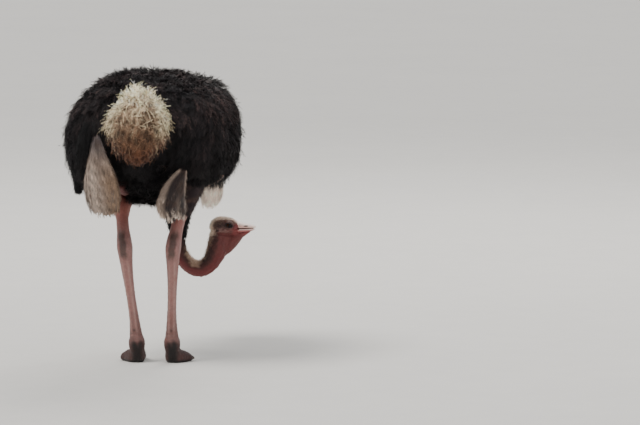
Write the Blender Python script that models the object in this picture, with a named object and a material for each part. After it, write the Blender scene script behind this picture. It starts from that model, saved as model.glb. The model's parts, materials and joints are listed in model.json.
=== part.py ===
"""A male ostrich, life size, standing with its neck lowered and its head turned to its right.

Metres. X is the bird's right, Y is where it faces and Z is up. The soles rest at Z = 0.
Every sub-part is a closed solid of its own; neighbours are parted by JOINT_GAP.
"""

import math

import bmesh
import bpy
from mathutils import Vector

# Driving dimensions.
BACK_Z = 1.314          # top of the back plumage
BELLY_Z = 0.716         # lowest body feathers between the thighs
HALF_SPAN = {"left": 0.3765, "right": 0.3905}   # from the middle to the outer face of a folded wing
RUMP_Y = -0.500         # rear end of the trunk, without the tail plumes
CHEST_Y = 0.535         # front end of the trunk
TAIL_TIP_Y = -0.685
HOCK_Z = 0.540
ANKLE_Z = 0.088
ANKLE_Y = -0.062        # the ankles stand behind the weight, the toes reach in front of it
HEAD_YAW = math.radians(8)   # the bill points to the bird's right and a little forwards
JOINT_GAP = 0.0004
SOLE_PRESS = 0.004      # how far a toe would reach below the ground before its sole is cut flat
EYE_RADIUS = 0.0205

SIDES = {"left": -1, "right": 1}
UP = Vector((0, 0, 1))
RIGHT = Vector((1, 0, 0))
AHEAD = Vector((0, 1, 0))
HEAD_AHEAD = Vector((math.cos(HEAD_YAW), math.sin(HEAD_YAW), 0))
HEAD_SIDE = UP.cross(HEAD_AHEAD)   # towards the bird's own left cheek
HEAD_AT = Vector((0.243, 0.640, 0.550))

COLOURS = {   # base colour, roughness
    "black_plume": ((0.012, 0.011, 0.012), 0.85),
    "white_plume": ((0.62, 0.57, 0.49), 0.85),
    "tail_plume": ((0.66, 0.56, 0.42), 0.85),
    "neck_skin": ((0.36, 0.16, 0.15), 0.65),
    "leg_skin": ((0.50, 0.33, 0.31), 0.60),
    "head_skin": ((0.27, 0.17, 0.15), 0.70),
    "bill_horn": ((0.66, 0.44, 0.38), 0.40),
    "claw_horn": ((0.13, 0.10, 0.09), 0.45),
    "eye": ((0.030, 0.018, 0.012), 0.08),
}


# ---------------------------------------------------------------- helpers

def clear_scene():
    for thing in list(bpy.data.objects):
        bpy.data.objects.remove(thing, do_unlink=True)


def collection(name):
    made = bpy.data.collections.new(name)
    bpy.context.scene.collection.children.link(made)
    return made


def material(name):
    found = bpy.data.materials.get(name)
    if found:
        return found
    colour, roughness = COLOURS[name]
    made = bpy.data.materials.new(name)
    made.use_nodes = True
    shader = made.node_tree.nodes["Principled BSDF"]
    shader.inputs["Base Color"].default_value = (*colour, 1)
    shader.inputs["Roughness"].default_value = roughness
    shader.inputs["Metallic"].default_value = 0
    return made


def through(values, share):
    """A smooth curve through evenly spaced numbers or vectors, read at a share from 0 to 1."""
    spans = len(values) - 1
    place = min(max(share, 0.0), 1.0) * spans
    first = min(int(place), spans - 1)
    t = place - first
    here, there = values[first], values[first + 1]
    before = values[first - 1] if first > 0 else here * 2 - there
    after = values[first + 2] if first + 2 <= spans else there * 2 - here
    leave, arrive = (there - before) * 0.5, (after - here) * 0.5
    return (here * (2 * t**3 - 3 * t**2 + 1) + leave * (t**3 - 2 * t**2 + t)
            + there * (3 * t**2 - 2 * t**3) + arrive * (t**3 - t**2))


def roundness(share, blunt):
    """1 along a form, falling on an ellipse to almost 0 at the ends that are blunt."""
    size = 1.0
    for end, away in zip(blunt, (share, 1 - share)):
        if end and away < end:
            size *= math.sqrt(max(1 - (1 - away / end) ** 2, 0.0))
    return max(size, 0.07)


def spread(count, span, blunt, bulge=0.35):
    """Shares for the rings of a form, evenly spaced along its outline, so closer at a blunt end."""
    low, high = span
    fine = [low + (high - low) * i / 400 for i in range(401)]
    runs = [0.0]
    for share, following in zip(fine, fine[1:]):
        change = roundness(following, blunt) - roundness(share, blunt)
        runs.append(runs[-1] + math.hypot(following - share, bulge * change))
    goals = [runs[-1] * i / count for i in range(count + 1)]
    return [next(share for share, run in zip(fine, runs) if run >= goal - 1e-9) for goal in goals]


def oval(centre, side, over, width, above, below, sides, power, egg):
    """One cross-section. Above and below are its two half-heights; egg narrows its lower half."""
    ring = []
    for i in range(sides):
        angle = 2 * math.pi * i / sides
        across = math.copysign(abs(math.cos(angle)) ** (2 / power), math.cos(angle))
        high = math.copysign(abs(math.sin(angle)) ** (2 / power), math.sin(angle))
        across *= width * (1 + egg * high)
        ring.append(centre + side * across + over * high * (above if high > 0 else below))
    return ring


def tube(name, path, width, above, below=None, side=RIGHT, rings=12, sides=16,
         span=(0, 1), blunt=(0, 0), power=2.0, egg=0.0):
    """A closed form round a path. Its half-sizes are stations along the path, as the path is.

    Above is the direction of side x run: turn the side round for a path that runs backwards."""
    below = below or above
    turning = isinstance(side, (list, tuple))
    form = bmesh.new()
    loops = []
    for share in spread(rings, span, blunt):
        centre = through(path, share)
        run = (through(path, min(share + 0.01, 1)) - through(path, max(share - 0.01, 0))).normalized()
        hint = through(side, share) if turning else side
        across = (hint - run * hint.dot(run)).normalized()
        over = across.cross(run)
        size = roundness(share, blunt)
        ring = oval(centre, across, over, through(width, share) * size,
                    through(above, share) * size, through(below, share) * size, sides, power, egg)
        loops.append([form.verts.new(point) for point in ring])
    for near, far in zip(loops, loops[1:]):
        for i in range(sides):
            form.faces.new((near[i], near[(i + 1) % sides], far[(i + 1) % sides], far[i]))
    form.faces.new(loops[0])
    form.faces.new(loops[-1])
    bmesh.ops.recalc_face_normals(form, faces=form.faces)
    bmesh.ops.triangulate(form, faces=form.faces)   # so that a cutter made from it has the same facets
    return add_object(name, form)


def add_object(name, form):
    mesh = bpy.data.meshes.new(name)
    form.to_mesh(mesh)
    form.free()
    thing = bpy.data.objects.new(name, mesh)
    bird.objects.link(thing)
    return thing


def finish(thing, finish_name, sharp=50):
    thing.data.materials.append(material(finish_name))
    thing.data.shade_smooth()
    thing.data.set_sharp_from_angle(angle=math.radians(sharp))
    return thing


def swollen(thing, gap=JOINT_GAP):
    """A hidden cutter: the thing's full shape, larger by the gap all round."""
    name = f"cut_{thing.name}"
    if name in bpy.data.objects:
        return bpy.data.objects[name]
    cutter = bpy.data.objects.new(name, thing.data.copy())
    for vertex in cutter.data.vertices:
        vertex.co += vertex.normal * gap
    return hide_cutter(cutter)


def hide_cutter(cutter):
    for owner in list(cutter.users_collection):
        owner.objects.unlink(cutter)
    cutters.objects.link(cutter)
    cutter.hide_render = True
    cutter.display_type = "WIRE"
    return cutter


def cut(thing, cutter):
    made = thing.modifiers.new(cutter.name, "BOOLEAN")
    made.operation = "DIFFERENCE"
    made.solver = "EXACT"
    made.object = cutter


def part_from(thing, *neighbours):
    """Cuts a thing back to the outside of its neighbours."""
    for neighbour in neighbours:
        cut(thing, swollen(neighbour))


def mirrored(points, sign):
    return [Vector((x * sign, y, z)) for x, y, z in points]


# ---------------------------------------------------------------- trunk, wings and plumes

def make_trunk():
    middle = (BACK_Z + BELLY_Z) / 2
    rise = BACK_Z - middle
    length = CHEST_Y - RUMP_Y
    heights = (0.035, 0.025, 0.010, 0.0, -0.022, -0.055, -0.105)   # centre line, from rump to chest
    path = [Vector((0, RUMP_Y + length * i / 6, middle + dz)) for i, dz in enumerate(heights)]
    width = [0.200, 0.255, 0.284, 0.290, 0.275, 0.230, 0.160]
    above = [rise * k for k in (0.62, 0.86, 0.97, 1.0, 0.95, 0.80, 0.60)]
    below = [rise * k for k in (0.66, 0.88, 1.00, 1.0, 0.96, 0.84, 0.62)]
    return finish(tube("trunk", path, width, above, below, rings=15, sides=22,
                       blunt=(0.24, 0.24), power=2.5, egg=0.24), "black_plume")


def make_tail():
    """The drooping mop of plumes behind the rump, narrower above its middle than below it."""
    root_y = RUMP_Y + 0.13
    length = root_y - TAIL_TIP_Y
    path = [Vector((0.010, root_y - length * i / 3, z)) for i, z in enumerate((1.146, 1.140, 1.124, 1.104))]
    return finish(tube("tail", path, [0.085, 0.128, 0.148, 0.132], [0.100, 0.138, 0.154, 0.138],
                       [0.112, 0.174, 0.210, 0.198], side=-RIGHT, rings=10, sides=16, blunt=(0.2, 0.42),
                       power=1.85, egg=-0.10),
                  "tail_plume")


def make_wing(side, droop):
    """A folded wing with its long covert plumes: a deep pad from the shoulder to the rump.

    The bird leans over its left side, so that wing lies lower and rounder than the other."""
    middle = 0.190
    depth = HALF_SPAN[side] - middle
    path = mirrored([(middle * 0.78, 0.410, 1.008), (middle * 0.94, 0.250, 1.008), (middle, 0.075, 1.006),
                     (middle, -0.105, 1.000), (middle * 0.95, -0.280, 0.993), (middle * 0.86, -0.445, 0.985)],
                    SIDES[side])
    width = [k * depth for k in (0.72, 0.90, 0.99, 1.0, 0.92, 0.74)]
    lower = 0.865 if side == "left" else 0.985
    above = [k * lower for k in (0.180, 0.250, 0.288, 0.292, 0.275, 0.215)]
    below = [0.150, 0.200, 0.225, 0.215 + droop * 0.5, 0.190 + droop, 0.160 + droop]
    return finish(tube(f"wing_{side}", path, width, above, below, side=-RIGHT, rings=12, sides=16,
                       blunt=(0.24, 0.20), power=2.1 if side == "left" else 2.35), "black_plume")


# The long flight plumes hang from the rear end of each wing. The bird's left bunch is the larger.
WING_TIPS = {
    "left": {"path": ((0.177, -0.500, 1.060), (0.177, -0.478, 0.965), (0.171, -0.432, 0.870),
                      (0.170, -0.378, 0.775), (0.164, -0.330, 0.675)),
             "width": [0.026, 0.058, 0.090, 0.103, 0.080]},
    "right": {"path": ((0.205, -0.485, 0.915), (0.168, -0.458, 0.855), (0.146, -0.422, 0.795),
                       (0.137, -0.380, 0.737), (0.139, -0.340, 0.678)),
              "width": [0.020, 0.042, 0.058, 0.073, 0.064]}}


def make_wing_tip(side):
    sign, shape = SIDES[side], WING_TIPS[side]
    along = Vector((math.cos(math.radians(28)), sign * math.sin(math.radians(28)), 0))
    return finish(tube(f"wing_tip_{side}", mirrored(shape["path"], sign), shape["width"],
                       [0.018, 0.030, 0.038, 0.036, 0.022], side=along, rings=9, sides=12,
                       blunt=(0.14, 0.24), power=2.2), "white_plume")


def make_flank_plume():
    """The outer white plumes, which show under the right wing. The left wing droops over its own."""
    path = [Vector(p) for p in ((0.300, -0.240, 0.900), (0.300, -0.235, 0.845), (0.294, -0.225, 0.785),
                                (0.286, -0.215, 0.722))]
    along = Vector((math.cos(math.radians(40)), math.sin(math.radians(40)), 0))
    return finish(tube("flank_plume", path, [0.040, 0.060, 0.062, 0.040], [0.024, 0.028, 0.026, 0.015],
                       side=along, rings=7, sides=10, blunt=(0.2, 0.30), power=2.2), "white_plume")


# ---------------------------------------------------------------- legs

# Where each leg stands: half-distances from the middle, at the knee, hock and ankle.
STANCE = {"left": {"knee": 0.160, "shin": 0.127, "hock": 0.106, "ankle": 0.067},
          "right": {"knee": 0.160, "shin": 0.131, "hock": 0.114, "ankle": 0.093}}
LEG_CUTS = (0.0, 0.405, 0.545, 0.985)   # knee to hock, the hock itself, hock to ankle


def leg_path(side):
    sign, at = SIDES[side], STANCE[side]
    stations = [(at["knee"], ANKLE_Y + 0.175, HOCK_Z + 0.370),
                (at["knee"] * 0.55 + at["shin"] * 0.45, ANKLE_Y + 0.070, HOCK_Z + 0.240),
                (at["shin"], ANKLE_Y - 0.025, HOCK_Z + 0.115),
                (at["hock"], ANKLE_Y - 0.098, HOCK_Z),
                (at["hock"] * 0.75 + at["ankle"] * 0.25, ANKLE_Y - 0.088, HOCK_Z - 0.112),
                (at["hock"] * 0.46 + at["ankle"] * 0.54, ANKLE_Y - 0.062, HOCK_Z - 0.225),
                (at["hock"] * 0.15 + at["ankle"] * 0.85, ANKLE_Y - 0.032, HOCK_Z - 0.342),
                (at["ankle"], ANKLE_Y, ANKLE_Z)]
    return mirrored(stations, sign)


def make_leg(side):
    """Thigh, hock and shank are one form, parted by thin cuts across it."""
    path = leg_path(side)
    width = [0.092, 0.070, 0.028, 0.034, 0.0255, 0.0200, 0.0220, 0.033]
    ahead = [0.115, 0.088, 0.034, 0.036, 0.0290, 0.0235, 0.0245, 0.030]
    behind = [0.115, 0.084, 0.034, 0.046, 0.0290, 0.0240, 0.0250, 0.034]
    pieces = []
    for label, start, end, rings in zip(("thigh", "hock", "shank"), LEG_CUTS, LEG_CUTS[1:], (7, 5, 7)):
        gap = JOINT_GAP / 2
        pieces.append(finish(tube(f"{label}_{side}", path, width, ahead, behind, side=RIGHT, rings=rings,
                                  sides=12, span=(start + gap, end - gap), power=2.15), "leg_skin"))
    return pieces


def make_foot(side, floor):
    """The pad under the ankle, the large inner toe, the small outer toe and their nails."""
    sign, at = SIDES[side], STANCE[side]
    ankle = Vector((at["ankle"] * sign, ANKLE_Y, ANKLE_Z))
    outwards = RIGHT * sign
    pad = tube(f"foot_{side}", [ankle + AHEAD * dy + UP * dz for dy, dz in
                                ((-0.004, 0.035), (0.000, -0.004), (0.005, -0.043), (0.010, -0.082))],
               [0.026, 0.036, 0.035, 0.027], [0.028, 0.036, 0.036, 0.030], side=RIGHT, rings=7, sides=14,
               blunt=(0, 0.3), power=2.2)
    toes = []
    for label, yaw, length, girth in (("inner", 4, 0.150, 0.0290), ("outer", 38, 0.112, 0.0225)):
        run = (AHEAD * math.cos(math.radians(yaw)) + outwards * math.sin(math.radians(yaw)))
        root = Vector((ankle.x, ankle.y, 0)) + outwards * (-0.008 if label == "inner" else 0.010)
        thick = [girth * k for k in (0.92, 0.96, 0.80, 0.84, 0.62)]
        path = [root + run * (length * k) + UP * (half - SOLE_PRESS)
                for k, half in zip((-0.10, 0.20, 0.48, 0.76, 1.0), thick)]
        across = run.cross(UP)
        toe = tube(f"toe_{label}_{side}", path, [girth * k for k in (0.82, 1.0, 0.86, 0.94, 0.66)], thick,
                   side=across, rings=7, sides=10, blunt=(0.10, 0.16), power=2.3)
        reach = 0.052 if label == "inner" else 0.020
        tip = root + run * (length * 0.955)
        claw_girth = girth * (0.52 if label == "inner" else 0.40)
        claw = tube(f"claw_{label}_{side}",
                    [tip + run * (reach * k) + UP * (girth * h) for k, h in
                     ((-0.25, 0.72), (0.25, 0.70), (0.72, 0.50), (1.0, 0.22))],
                    [claw_girth * k for k in (1.0, 0.95, 0.62, 0.16)],
                    [claw_girth * k for k in (0.95, 0.90, 0.56, 0.16)], side=across, rings=4, sides=6,
                    blunt=(0, 0.12))
        part_from(claw, toe)
        part_from(toe, pad)
        toes += [toe, claw]
        finish(toe, "leg_skin")
        finish(claw, "claw_horn", 30)
    if len(toes) == 4:
        part_from(toes[2], toes[0])
    for thing in toes:
        cut(thing, floor)
    return finish(pad, "leg_skin"), toes


def make_floor():
    """A cutter that leaves the flats of the soles at Z = 0."""
    bpy.ops.mesh.primitive_cube_add(size=1, location=(0, 0, -0.05))
    floor = bpy.context.object
    floor.name = "cut_floor"
    floor.scale = (1.2, 1.2, 0.1)
    bpy.ops.object.transform_apply(location=True, rotation=True, scale=True)
    return hide_cutter(floor)


# ---------------------------------------------------------------- neck and head

NECK_PATH = [Vector(p) for p in (
    (0.000, 0.330, 0.960), (0.000, 0.455, 0.895), (0.004, 0.555, 0.800), (0.015, 0.608, 0.695),
    (0.027, 0.624, 0.592), (0.032, 0.622, 0.500), (0.046, 0.620, 0.414), (0.089, 0.620, 0.364),
    (0.138, 0.621, 0.354), (0.181, 0.624, 0.384), (0.209, 0.629, 0.443), (0.228, 0.636, 0.510))]
NECK_WIDTH = [0.125, 0.112, 0.100, 0.086, 0.063, 0.036, 0.033, 0.034, 0.035, 0.036, 0.038, 0.040]
NECK_DEPTH = [0.140, 0.120, 0.098, 0.078, 0.054, 0.036, 0.034, 0.037, 0.040, 0.043, 0.050, 0.055]
NECK_SIDES = [RIGHT] * 4 + [Vector((0.8, -0.6, 0)), Vector((0.3, -0.95, 0))] + [-AHEAD] * 6
NECK_CUTS = (0.0, 0.30, 0.47, 0.60, 0.74, 1.0)
NECK_PARTS = ("neck_base", "neck_lower", "neck_bend_near", "neck_bend_far", "neck_upper")


def make_neck():
    """One form from the chest to the head, parted into lengths by thin cuts across it."""
    pieces = []
    for name, start, end in zip(NECK_PARTS, NECK_CUTS, NECK_CUTS[1:]):
        gap = JOINT_GAP / 2
        pieces.append(finish(tube(name, NECK_PATH, NECK_WIDTH, NECK_DEPTH, side=NECK_SIDES,
                                  rings=6, sides=12, span=(start + gap, end - gap)),
                             "black_plume" if name == "neck_base" else "neck_skin"))
    return pieces


def head_point(ahead, aside, z):
    """A place measured from the middle of the head, along the bill, towards the left cheek, and its height."""
    place = HEAD_AT + HEAD_AHEAD * ahead + HEAD_SIDE * aside
    return Vector((place.x, place.y, z))


def make_head():
    path = [head_point(a, 0, z) for a, z in
            ((-0.068, 0.538), (-0.040, 0.545), (-0.010, 0.549), (0.020, 0.549), (0.050, 0.545), (0.078, 0.541))]
    head = tube("head", path, [0.036, 0.041, 0.0445, 0.0455, 0.0380, 0.0300],
                [0.041, 0.046, 0.0480, 0.0440, 0.0330, 0.0250], [0.044, 0.047, 0.0460, 0.0420, 0.0350, 0.0270],
                side=-HEAD_SIDE, rings=10, sides=16, blunt=(0.30, 0.16), power=2.15)
    return finish(head, "head_skin")


def make_throat():
    """The loose skin from the chin to the front of the neck."""
    path = [head_point(a, 0, z) for a, z in
            ((0.124, 0.527), (0.088, 0.514), (0.056, 0.497), (0.022, 0.466), (-0.024, 0.404))]
    return finish(tube("throat", path, [0.010, 0.020, 0.030, 0.034, 0.030], [0.0045, 0.012, 0.027, 0.034, 0.030],
                       side=-HEAD_SIDE, rings=8, sides=12, blunt=(0.12, 0.3)), "neck_skin")


def make_bill():
    """Two broad flat horn sheaths with rounded tips. The upper one has a nostril slit on each side."""
    upper = tube("bill_upper",
                 [head_point(a, 0, z) for a, z in ((0.030, 0.548), (0.066, 0.547), (0.104, 0.547), (0.148, 0.5445))],
                 [0.034, 0.031, 0.026, 0.017], [0.030, 0.0225, 0.0145, 0.0065], [0.0075, 0.0065, 0.0050, 0.0030],
                 side=-HEAD_SIDE, rings=7, sides=12, blunt=(0, 0.14), power=2.3)
    lower = tube("bill_lower",
                 [head_point(a, 0, z) for a, z in ((0.030, 0.530), (0.066, 0.532), (0.104, 0.5335), (0.143, 0.5350))],
                 [0.032, 0.029, 0.024, 0.015], [0.0080, 0.0068, 0.0058, 0.0036], [0.0160, 0.0135, 0.0105, 0.0050],
                 side=-HEAD_SIDE, rings=7, sides=12, blunt=(0, 0.14), power=2.3)
    for label, sign in (("left", 1), ("right", -1)):
        bpy.ops.mesh.primitive_uv_sphere_add(segments=10, ring_count=6, radius=1,
                                             location=head_point(0.100, sign * 0.0265, 0.5515))
        nostril = bpy.context.object
        nostril.name = f"cut_nostril_{label}"
        nostril.scale = (0.0095, 0.0045, 0.0022)
        nostril.rotation_euler = (0, 0, HEAD_YAW)
        bpy.ops.object.transform_apply(location=True, rotation=True, scale=True)
        cut(upper, hide_cutter(nostril))
    return finish(upper, "bill_horn", 35), finish(lower, "bill_horn", 35)


def make_eyes(head):
    for label, sign in (("left", 1), ("right", -1)):
        bpy.ops.mesh.primitive_uv_sphere_add(segments=12, ring_count=8, radius=EYE_RADIUS,
                                             location=head_point(0.022, sign * 0.0295, 0.5560))
        eye = bpy.context.object
        eye.name = f"eye_{label}"
        bpy.ops.object.transform_apply(location=True, rotation=True, scale=True)
        for owner in list(eye.users_collection):
            owner.objects.unlink(eye)
        bird.objects.link(eye)
        finish(eye, "eye")
        part_from(head, eye)


def make_ears(head):
    """Low rounded covers over the ear openings, behind and below the eyes."""
    for label, sign in (("left", 1), ("right", -1)):
        ear = tube(f"ear_{label}", [head_point(-0.034, sign * out, 0.534) for out in (0.020, 0.034, 0.0462)],
                   [0.0105, 0.0105, 0.0090], [0.0085, 0.0085, 0.0070], side=UP, rings=3, sides=10,
                   blunt=(0, 0.3))
        part_from(ear, head)
        finish(ear, "head_skin")


# ---------------------------------------------------------------- assembly

clear_scene()
bird = collection("ostrich")
cutters = collection("cutters")

trunk = make_trunk()
tail = make_tail()
part_from(tail, trunk)
floor_cut = make_floor()
for wing_side, wing_droop in (("left", 0.034), ("right", 0.0)):
    wing = make_wing(wing_side, wing_droop)
    wing_tip = make_wing_tip(wing_side)
    thigh, hock, shank = make_leg(wing_side)
    foot, _ = make_foot(wing_side, floor_cut)
    part_from(wing, trunk, tail)
    part_from(wing_tip, trunk, wing, thigh, tail)
    if wing_side == "right":
        part_from(make_flank_plume(), trunk, wing, thigh, wing_tip)
    part_from(thigh, trunk, wing)
    part_from(shank, foot)

neck_pieces = make_neck()
head = make_head()
throat = make_throat()
part_from(neck_pieces[0], trunk)
part_from(neck_pieces[-1], head)
part_from(throat, head, *neck_pieces[-2:])
for horn in make_bill():
    part_from(horn, head)
    part_from(throat, horn)
make_eyes(head)
make_ears(head)
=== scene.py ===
import json
import math

import bpy
import numpy as np
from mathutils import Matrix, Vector
from mathutils.bvhtree import BVHTree
from mathutils.kdtree import KDTree

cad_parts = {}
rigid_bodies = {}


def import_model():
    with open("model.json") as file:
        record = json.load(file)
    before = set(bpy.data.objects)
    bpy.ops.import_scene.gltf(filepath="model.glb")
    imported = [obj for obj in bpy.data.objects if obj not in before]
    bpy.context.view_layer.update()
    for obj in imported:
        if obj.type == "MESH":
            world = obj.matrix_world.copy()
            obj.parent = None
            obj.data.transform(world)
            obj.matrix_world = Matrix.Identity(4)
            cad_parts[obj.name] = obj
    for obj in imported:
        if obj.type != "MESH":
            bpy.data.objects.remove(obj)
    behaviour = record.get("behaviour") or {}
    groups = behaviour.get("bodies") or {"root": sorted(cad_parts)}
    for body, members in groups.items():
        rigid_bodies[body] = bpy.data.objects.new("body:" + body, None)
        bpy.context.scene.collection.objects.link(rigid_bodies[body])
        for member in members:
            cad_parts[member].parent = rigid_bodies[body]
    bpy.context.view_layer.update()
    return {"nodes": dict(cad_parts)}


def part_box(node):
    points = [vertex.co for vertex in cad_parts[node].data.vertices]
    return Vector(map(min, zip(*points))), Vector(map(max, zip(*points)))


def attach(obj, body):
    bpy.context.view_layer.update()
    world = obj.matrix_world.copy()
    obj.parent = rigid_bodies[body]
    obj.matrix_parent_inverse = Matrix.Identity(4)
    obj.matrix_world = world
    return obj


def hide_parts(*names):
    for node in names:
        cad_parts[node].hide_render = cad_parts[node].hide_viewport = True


for leftover in list(bpy.data.objects):
    bpy.data.objects.remove(leftover)

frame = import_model()
nodes = frame["nodes"]
print("frame loaded,", len(nodes), "nodes")

up = np.array((0.0, 0.0, 1.0))


# Small tools for arrays of points

def unit(vectors):
    length = np.linalg.norm(vectors, axis=-1, keepdims=True)
    return vectors / np.maximum(length, 1e-9)


def ramp(values, start, end):
    # 0 before start, 1 after end, with a soft curve between; start may lie above end
    share = np.clip((values - start) / (end - start), 0, 1)
    return share * share * (3 - 2 * share)


def bell(values, middle, width):
    # 1 at middle, falling softly towards 0 on both sides
    return np.exp(-((values - middle) / width) ** 2)


def linear(red, green, blue):
    # screen colours from 0 to 255 as linear light
    parts = np.array((red, green, blue)) / 255
    return np.where(parts <= 0.04045, parts / 12.92, ((parts + 0.055) / 1.055) ** 2.4)


def waves(points, size, seed, layers=5):
    # a soft noise of about this size in metres, from -1 to 1
    dice = np.random.default_rng(seed)
    total = np.zeros(len(points))
    for _ in range(layers):
        turn = unit(dice.normal(size=3)) * 6.283 / (size * dice.uniform(0.7, 1.5))
        total += np.sin(points @ turn + dice.uniform(0, 6.283))
    return np.clip(total / layers ** 0.5 / 1.4, -1, 1)


def mixed(first, second, share):
    return first + (second - first) * share[..., None]


def edgesOf(triangles):
    pairs = np.concatenate([triangles[:, [0, 1]], triangles[:, [1, 2]], triangles[:, [2, 0]]])
    return np.unique(np.sort(pairs, axis=1), axis=0, return_inverse=True)


def normalsOf(points, triangles):
    a, b, c = (points[triangles[:, corner]] for corner in range(3))
    face = np.cross(b - a, c - a)
    total = np.zeros_like(points)
    for axis in range(3):
        for corner in range(3):
            total[:, axis] += np.bincount(triangles[:, corner], face[:, axis], len(points))
    return unit(total)


def evened(points, triangles, rounds, where=None, keepSize=True):
    # smooths a form; with keepSize each pull is followed by a push, so that thin limbs stay as thick
    pairs = edgesOf(triangles)[0]
    count = np.maximum(np.bincount(pairs.ravel(), minlength=len(points)), 1)[:, None]
    weight = 1.0 if where is None else where[:, None]
    for _ in range(rounds):
        for pull in ((0.55, -0.57) if keepSize else (0.5,)):
            mean = np.empty_like(points)
            for axis in range(3):
                mean[:, axis] = (np.bincount(pairs[:, 0], points[pairs[:, 1], axis], len(points))
                                 + np.bincount(pairs[:, 1], points[pairs[:, 0], axis], len(points)))
            points = points + pull * weight * (mean / count - points)
    return points


def refined(points, triangles, spacing, rounds):
    # halves every edge longer than spacing(middles) allows, and keeps the mesh closed
    for _ in range(rounds):
        pairs, back = edgesOf(triangles)
        middles = points[pairs].mean(axis=1)
        split = np.linalg.norm(points[pairs[:, 0]] - points[pairs[:, 1]], axis=1) > spacing(middles)
        index = np.where(split, len(points) + np.cumsum(split) - 1, -1)
        points = np.concatenate([points, middles[split]])
        mids = index[back.ravel().reshape(3, -1)].T
        cuts = (mids >= 0).sum(axis=1)
        made = [triangles[cuts == 0]]
        t, m = triangles[cuts == 3], mids[cuts == 3]
        made += [np.stack([t[:, 0], m[:, 0], m[:, 2]], 1), np.stack([m[:, 0], t[:, 1], m[:, 1]], 1),
                 np.stack([m[:, 2], m[:, 1], t[:, 2]], 1), m]
        for turn in range(3):
            order = [turn, (turn + 1) % 3, (turn + 2) % 3]
            t, m = triangles[:, order], mids[:, order]
            one = (cuts == 1) & (m[:, 0] >= 0)
            a, b, c = t[one].T
            made += [np.stack([a, m[one][:, 0], c], 1), np.stack([m[one][:, 0], b, c], 1)]
            two = (cuts == 2) & (m[:, 2] < 0)
            a, b, c = t[two].T
            ab, bc = m[two][:, 0], m[two][:, 1]
            made += [np.stack([ab, b, bc], 1), np.stack([a, ab, bc], 1), np.stack([a, bc, c], 1)]
        triangles = np.concatenate(made)
    return points, triangles


def meshArrays(mesh):
    mesh.calc_loop_triangles()
    points = np.empty(len(mesh.vertices) * 3, np.float32)
    mesh.vertices.foreach_get("co", points)
    triangles = np.empty(len(mesh.loop_triangles) * 3, np.int32)
    mesh.loop_triangles.foreach_get("vertices", triangles)
    return points.reshape(-1, 3).astype(float), triangles.reshape(-1, 3)


def joined(forms):
    points, triangles, count = [], [], 0
    for some, faces in forms:
        points.append(some)
        triangles.append(faces + count)
        count += len(some)
    return np.concatenate(points), np.concatenate(triangles)


def nodeForm(name, grow=0.0):
    # a CAD node as one closed form, pushed out by grow
    points, triangles = meshArrays(nodes[name].data)
    _, first, back = np.unique(np.round(points * 1e5).astype(np.int64), axis=0,
                               return_index=True, return_inverse=True)
    points, triangles = points[first], back.ravel()[triangles]
    return points + normalsOf(points, triangles) * grow, triangles


def remeshed(form, voxel):
    # the outer skin of overlapping closed forms
    points, triangles = form
    mesh = bpy.data.meshes.new("working")
    mesh.from_pydata(points.tolist(), [], triangles.tolist())
    thing = bpy.data.objects.new("working", mesh)
    bpy.context.scene.collection.objects.link(thing)
    change = thing.modifiers.new("skin", "REMESH")
    change.mode = "VOXEL"
    change.voxel_size = voxel
    shape = thing.evaluated_get(bpy.context.evaluated_depsgraph_get())
    found = meshArrays(shape.to_mesh())
    shape.to_mesh_clear()
    bpy.data.objects.remove(thing)
    bpy.data.meshes.remove(mesh)
    return found


def softForm(names, grow, voxel, rounds):
    points, triangles = remeshed(joined([nodeForm(name, grow) for name in names]), voxel)
    return evened(points, triangles, rounds), triangles


def makePiece(name, form, material, tints=None, patches=None, normals=None):
    points, triangles = form
    mesh = bpy.data.meshes.new(name)
    mesh.vertices.add(len(points))
    mesh.vertices.foreach_set("co", points.astype(np.float32).ravel())
    mesh.loops.add(triangles.size)
    mesh.loops.foreach_set("vertex_index", triangles.astype(np.int32).ravel())
    mesh.polygons.add(len(triangles))
    mesh.polygons.foreach_set("loop_start", np.arange(0, triangles.size, 3, dtype=np.int32))
    mesh.polygons.foreach_set("use_smooth", np.ones(len(triangles), bool))
    mesh.update(calc_edges=True)
    if tints is not None:
        layer = mesh.color_attributes.new("tint", "FLOAT_COLOR", "POINT")
        layer.data.foreach_set("color", np.c_[tints, np.ones(len(tints))].astype(np.float32).ravel())
    if patches is not None:
        chart = mesh.uv_layers.new(name="OFBake")
        chart.data.foreach_set("uv", patches[triangles.ravel()].astype(np.float32).ravel())
    if normals is not None:
        mesh.normals_split_custom_set_from_vertices(normals.astype(np.float32))
    mesh.materials.append(material)
    piece = bpy.data.objects.new(name, mesh)
    bpy.context.scene.collection.objects.link(piece)
    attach(piece, "root")
    return piece


class Guide:
    # a form with quick answers to where its nearest point is, and how it faces there
    def __init__(self, form):
        self.points, self.triangles = form
        self.normals = normalsOf(self.points, self.triangles)
        self.tree = BVHTree.FromPolygons(self.points.tolist(), self.triangles.tolist())

    def nearest(self, points):
        found = [self.tree.find_nearest(point) for point in points.tolist()]
        places = np.array([tuple(hit[0]) for hit in found])
        corners = self.triangles[[hit[2] for hit in found]]
        return places, unit(self.normals[corners].mean(axis=1))

    def scatter(self, count, dice, weight=None):
        # evenly spread roots, thinned by weight(places)
        a, b, c = (self.points[self.triangles[:, corner]] for corner in range(3))
        area = np.linalg.norm(np.cross(b - a, c - a), axis=1)
        if weight is not None:
            area = area * weight((a + b + c) / 3, unit(np.cross(b - a, c - a)))
        edge = np.cumsum(area) / area.sum()
        pick = np.searchsorted(edge, (np.arange(count) + dice.random(count)) / count)
        pick = np.minimum(pick, len(area) - 1)
        s, t = dice.random(count), dice.random(count)
        fold = s + t > 1
        s, t = np.where(fold, 1 - s, s)[:, None], np.where(fold, 1 - t, t)[:, None]
        return a[pick] + (b[pick] - a[pick]) * s + (c[pick] - a[pick]) * t


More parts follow.
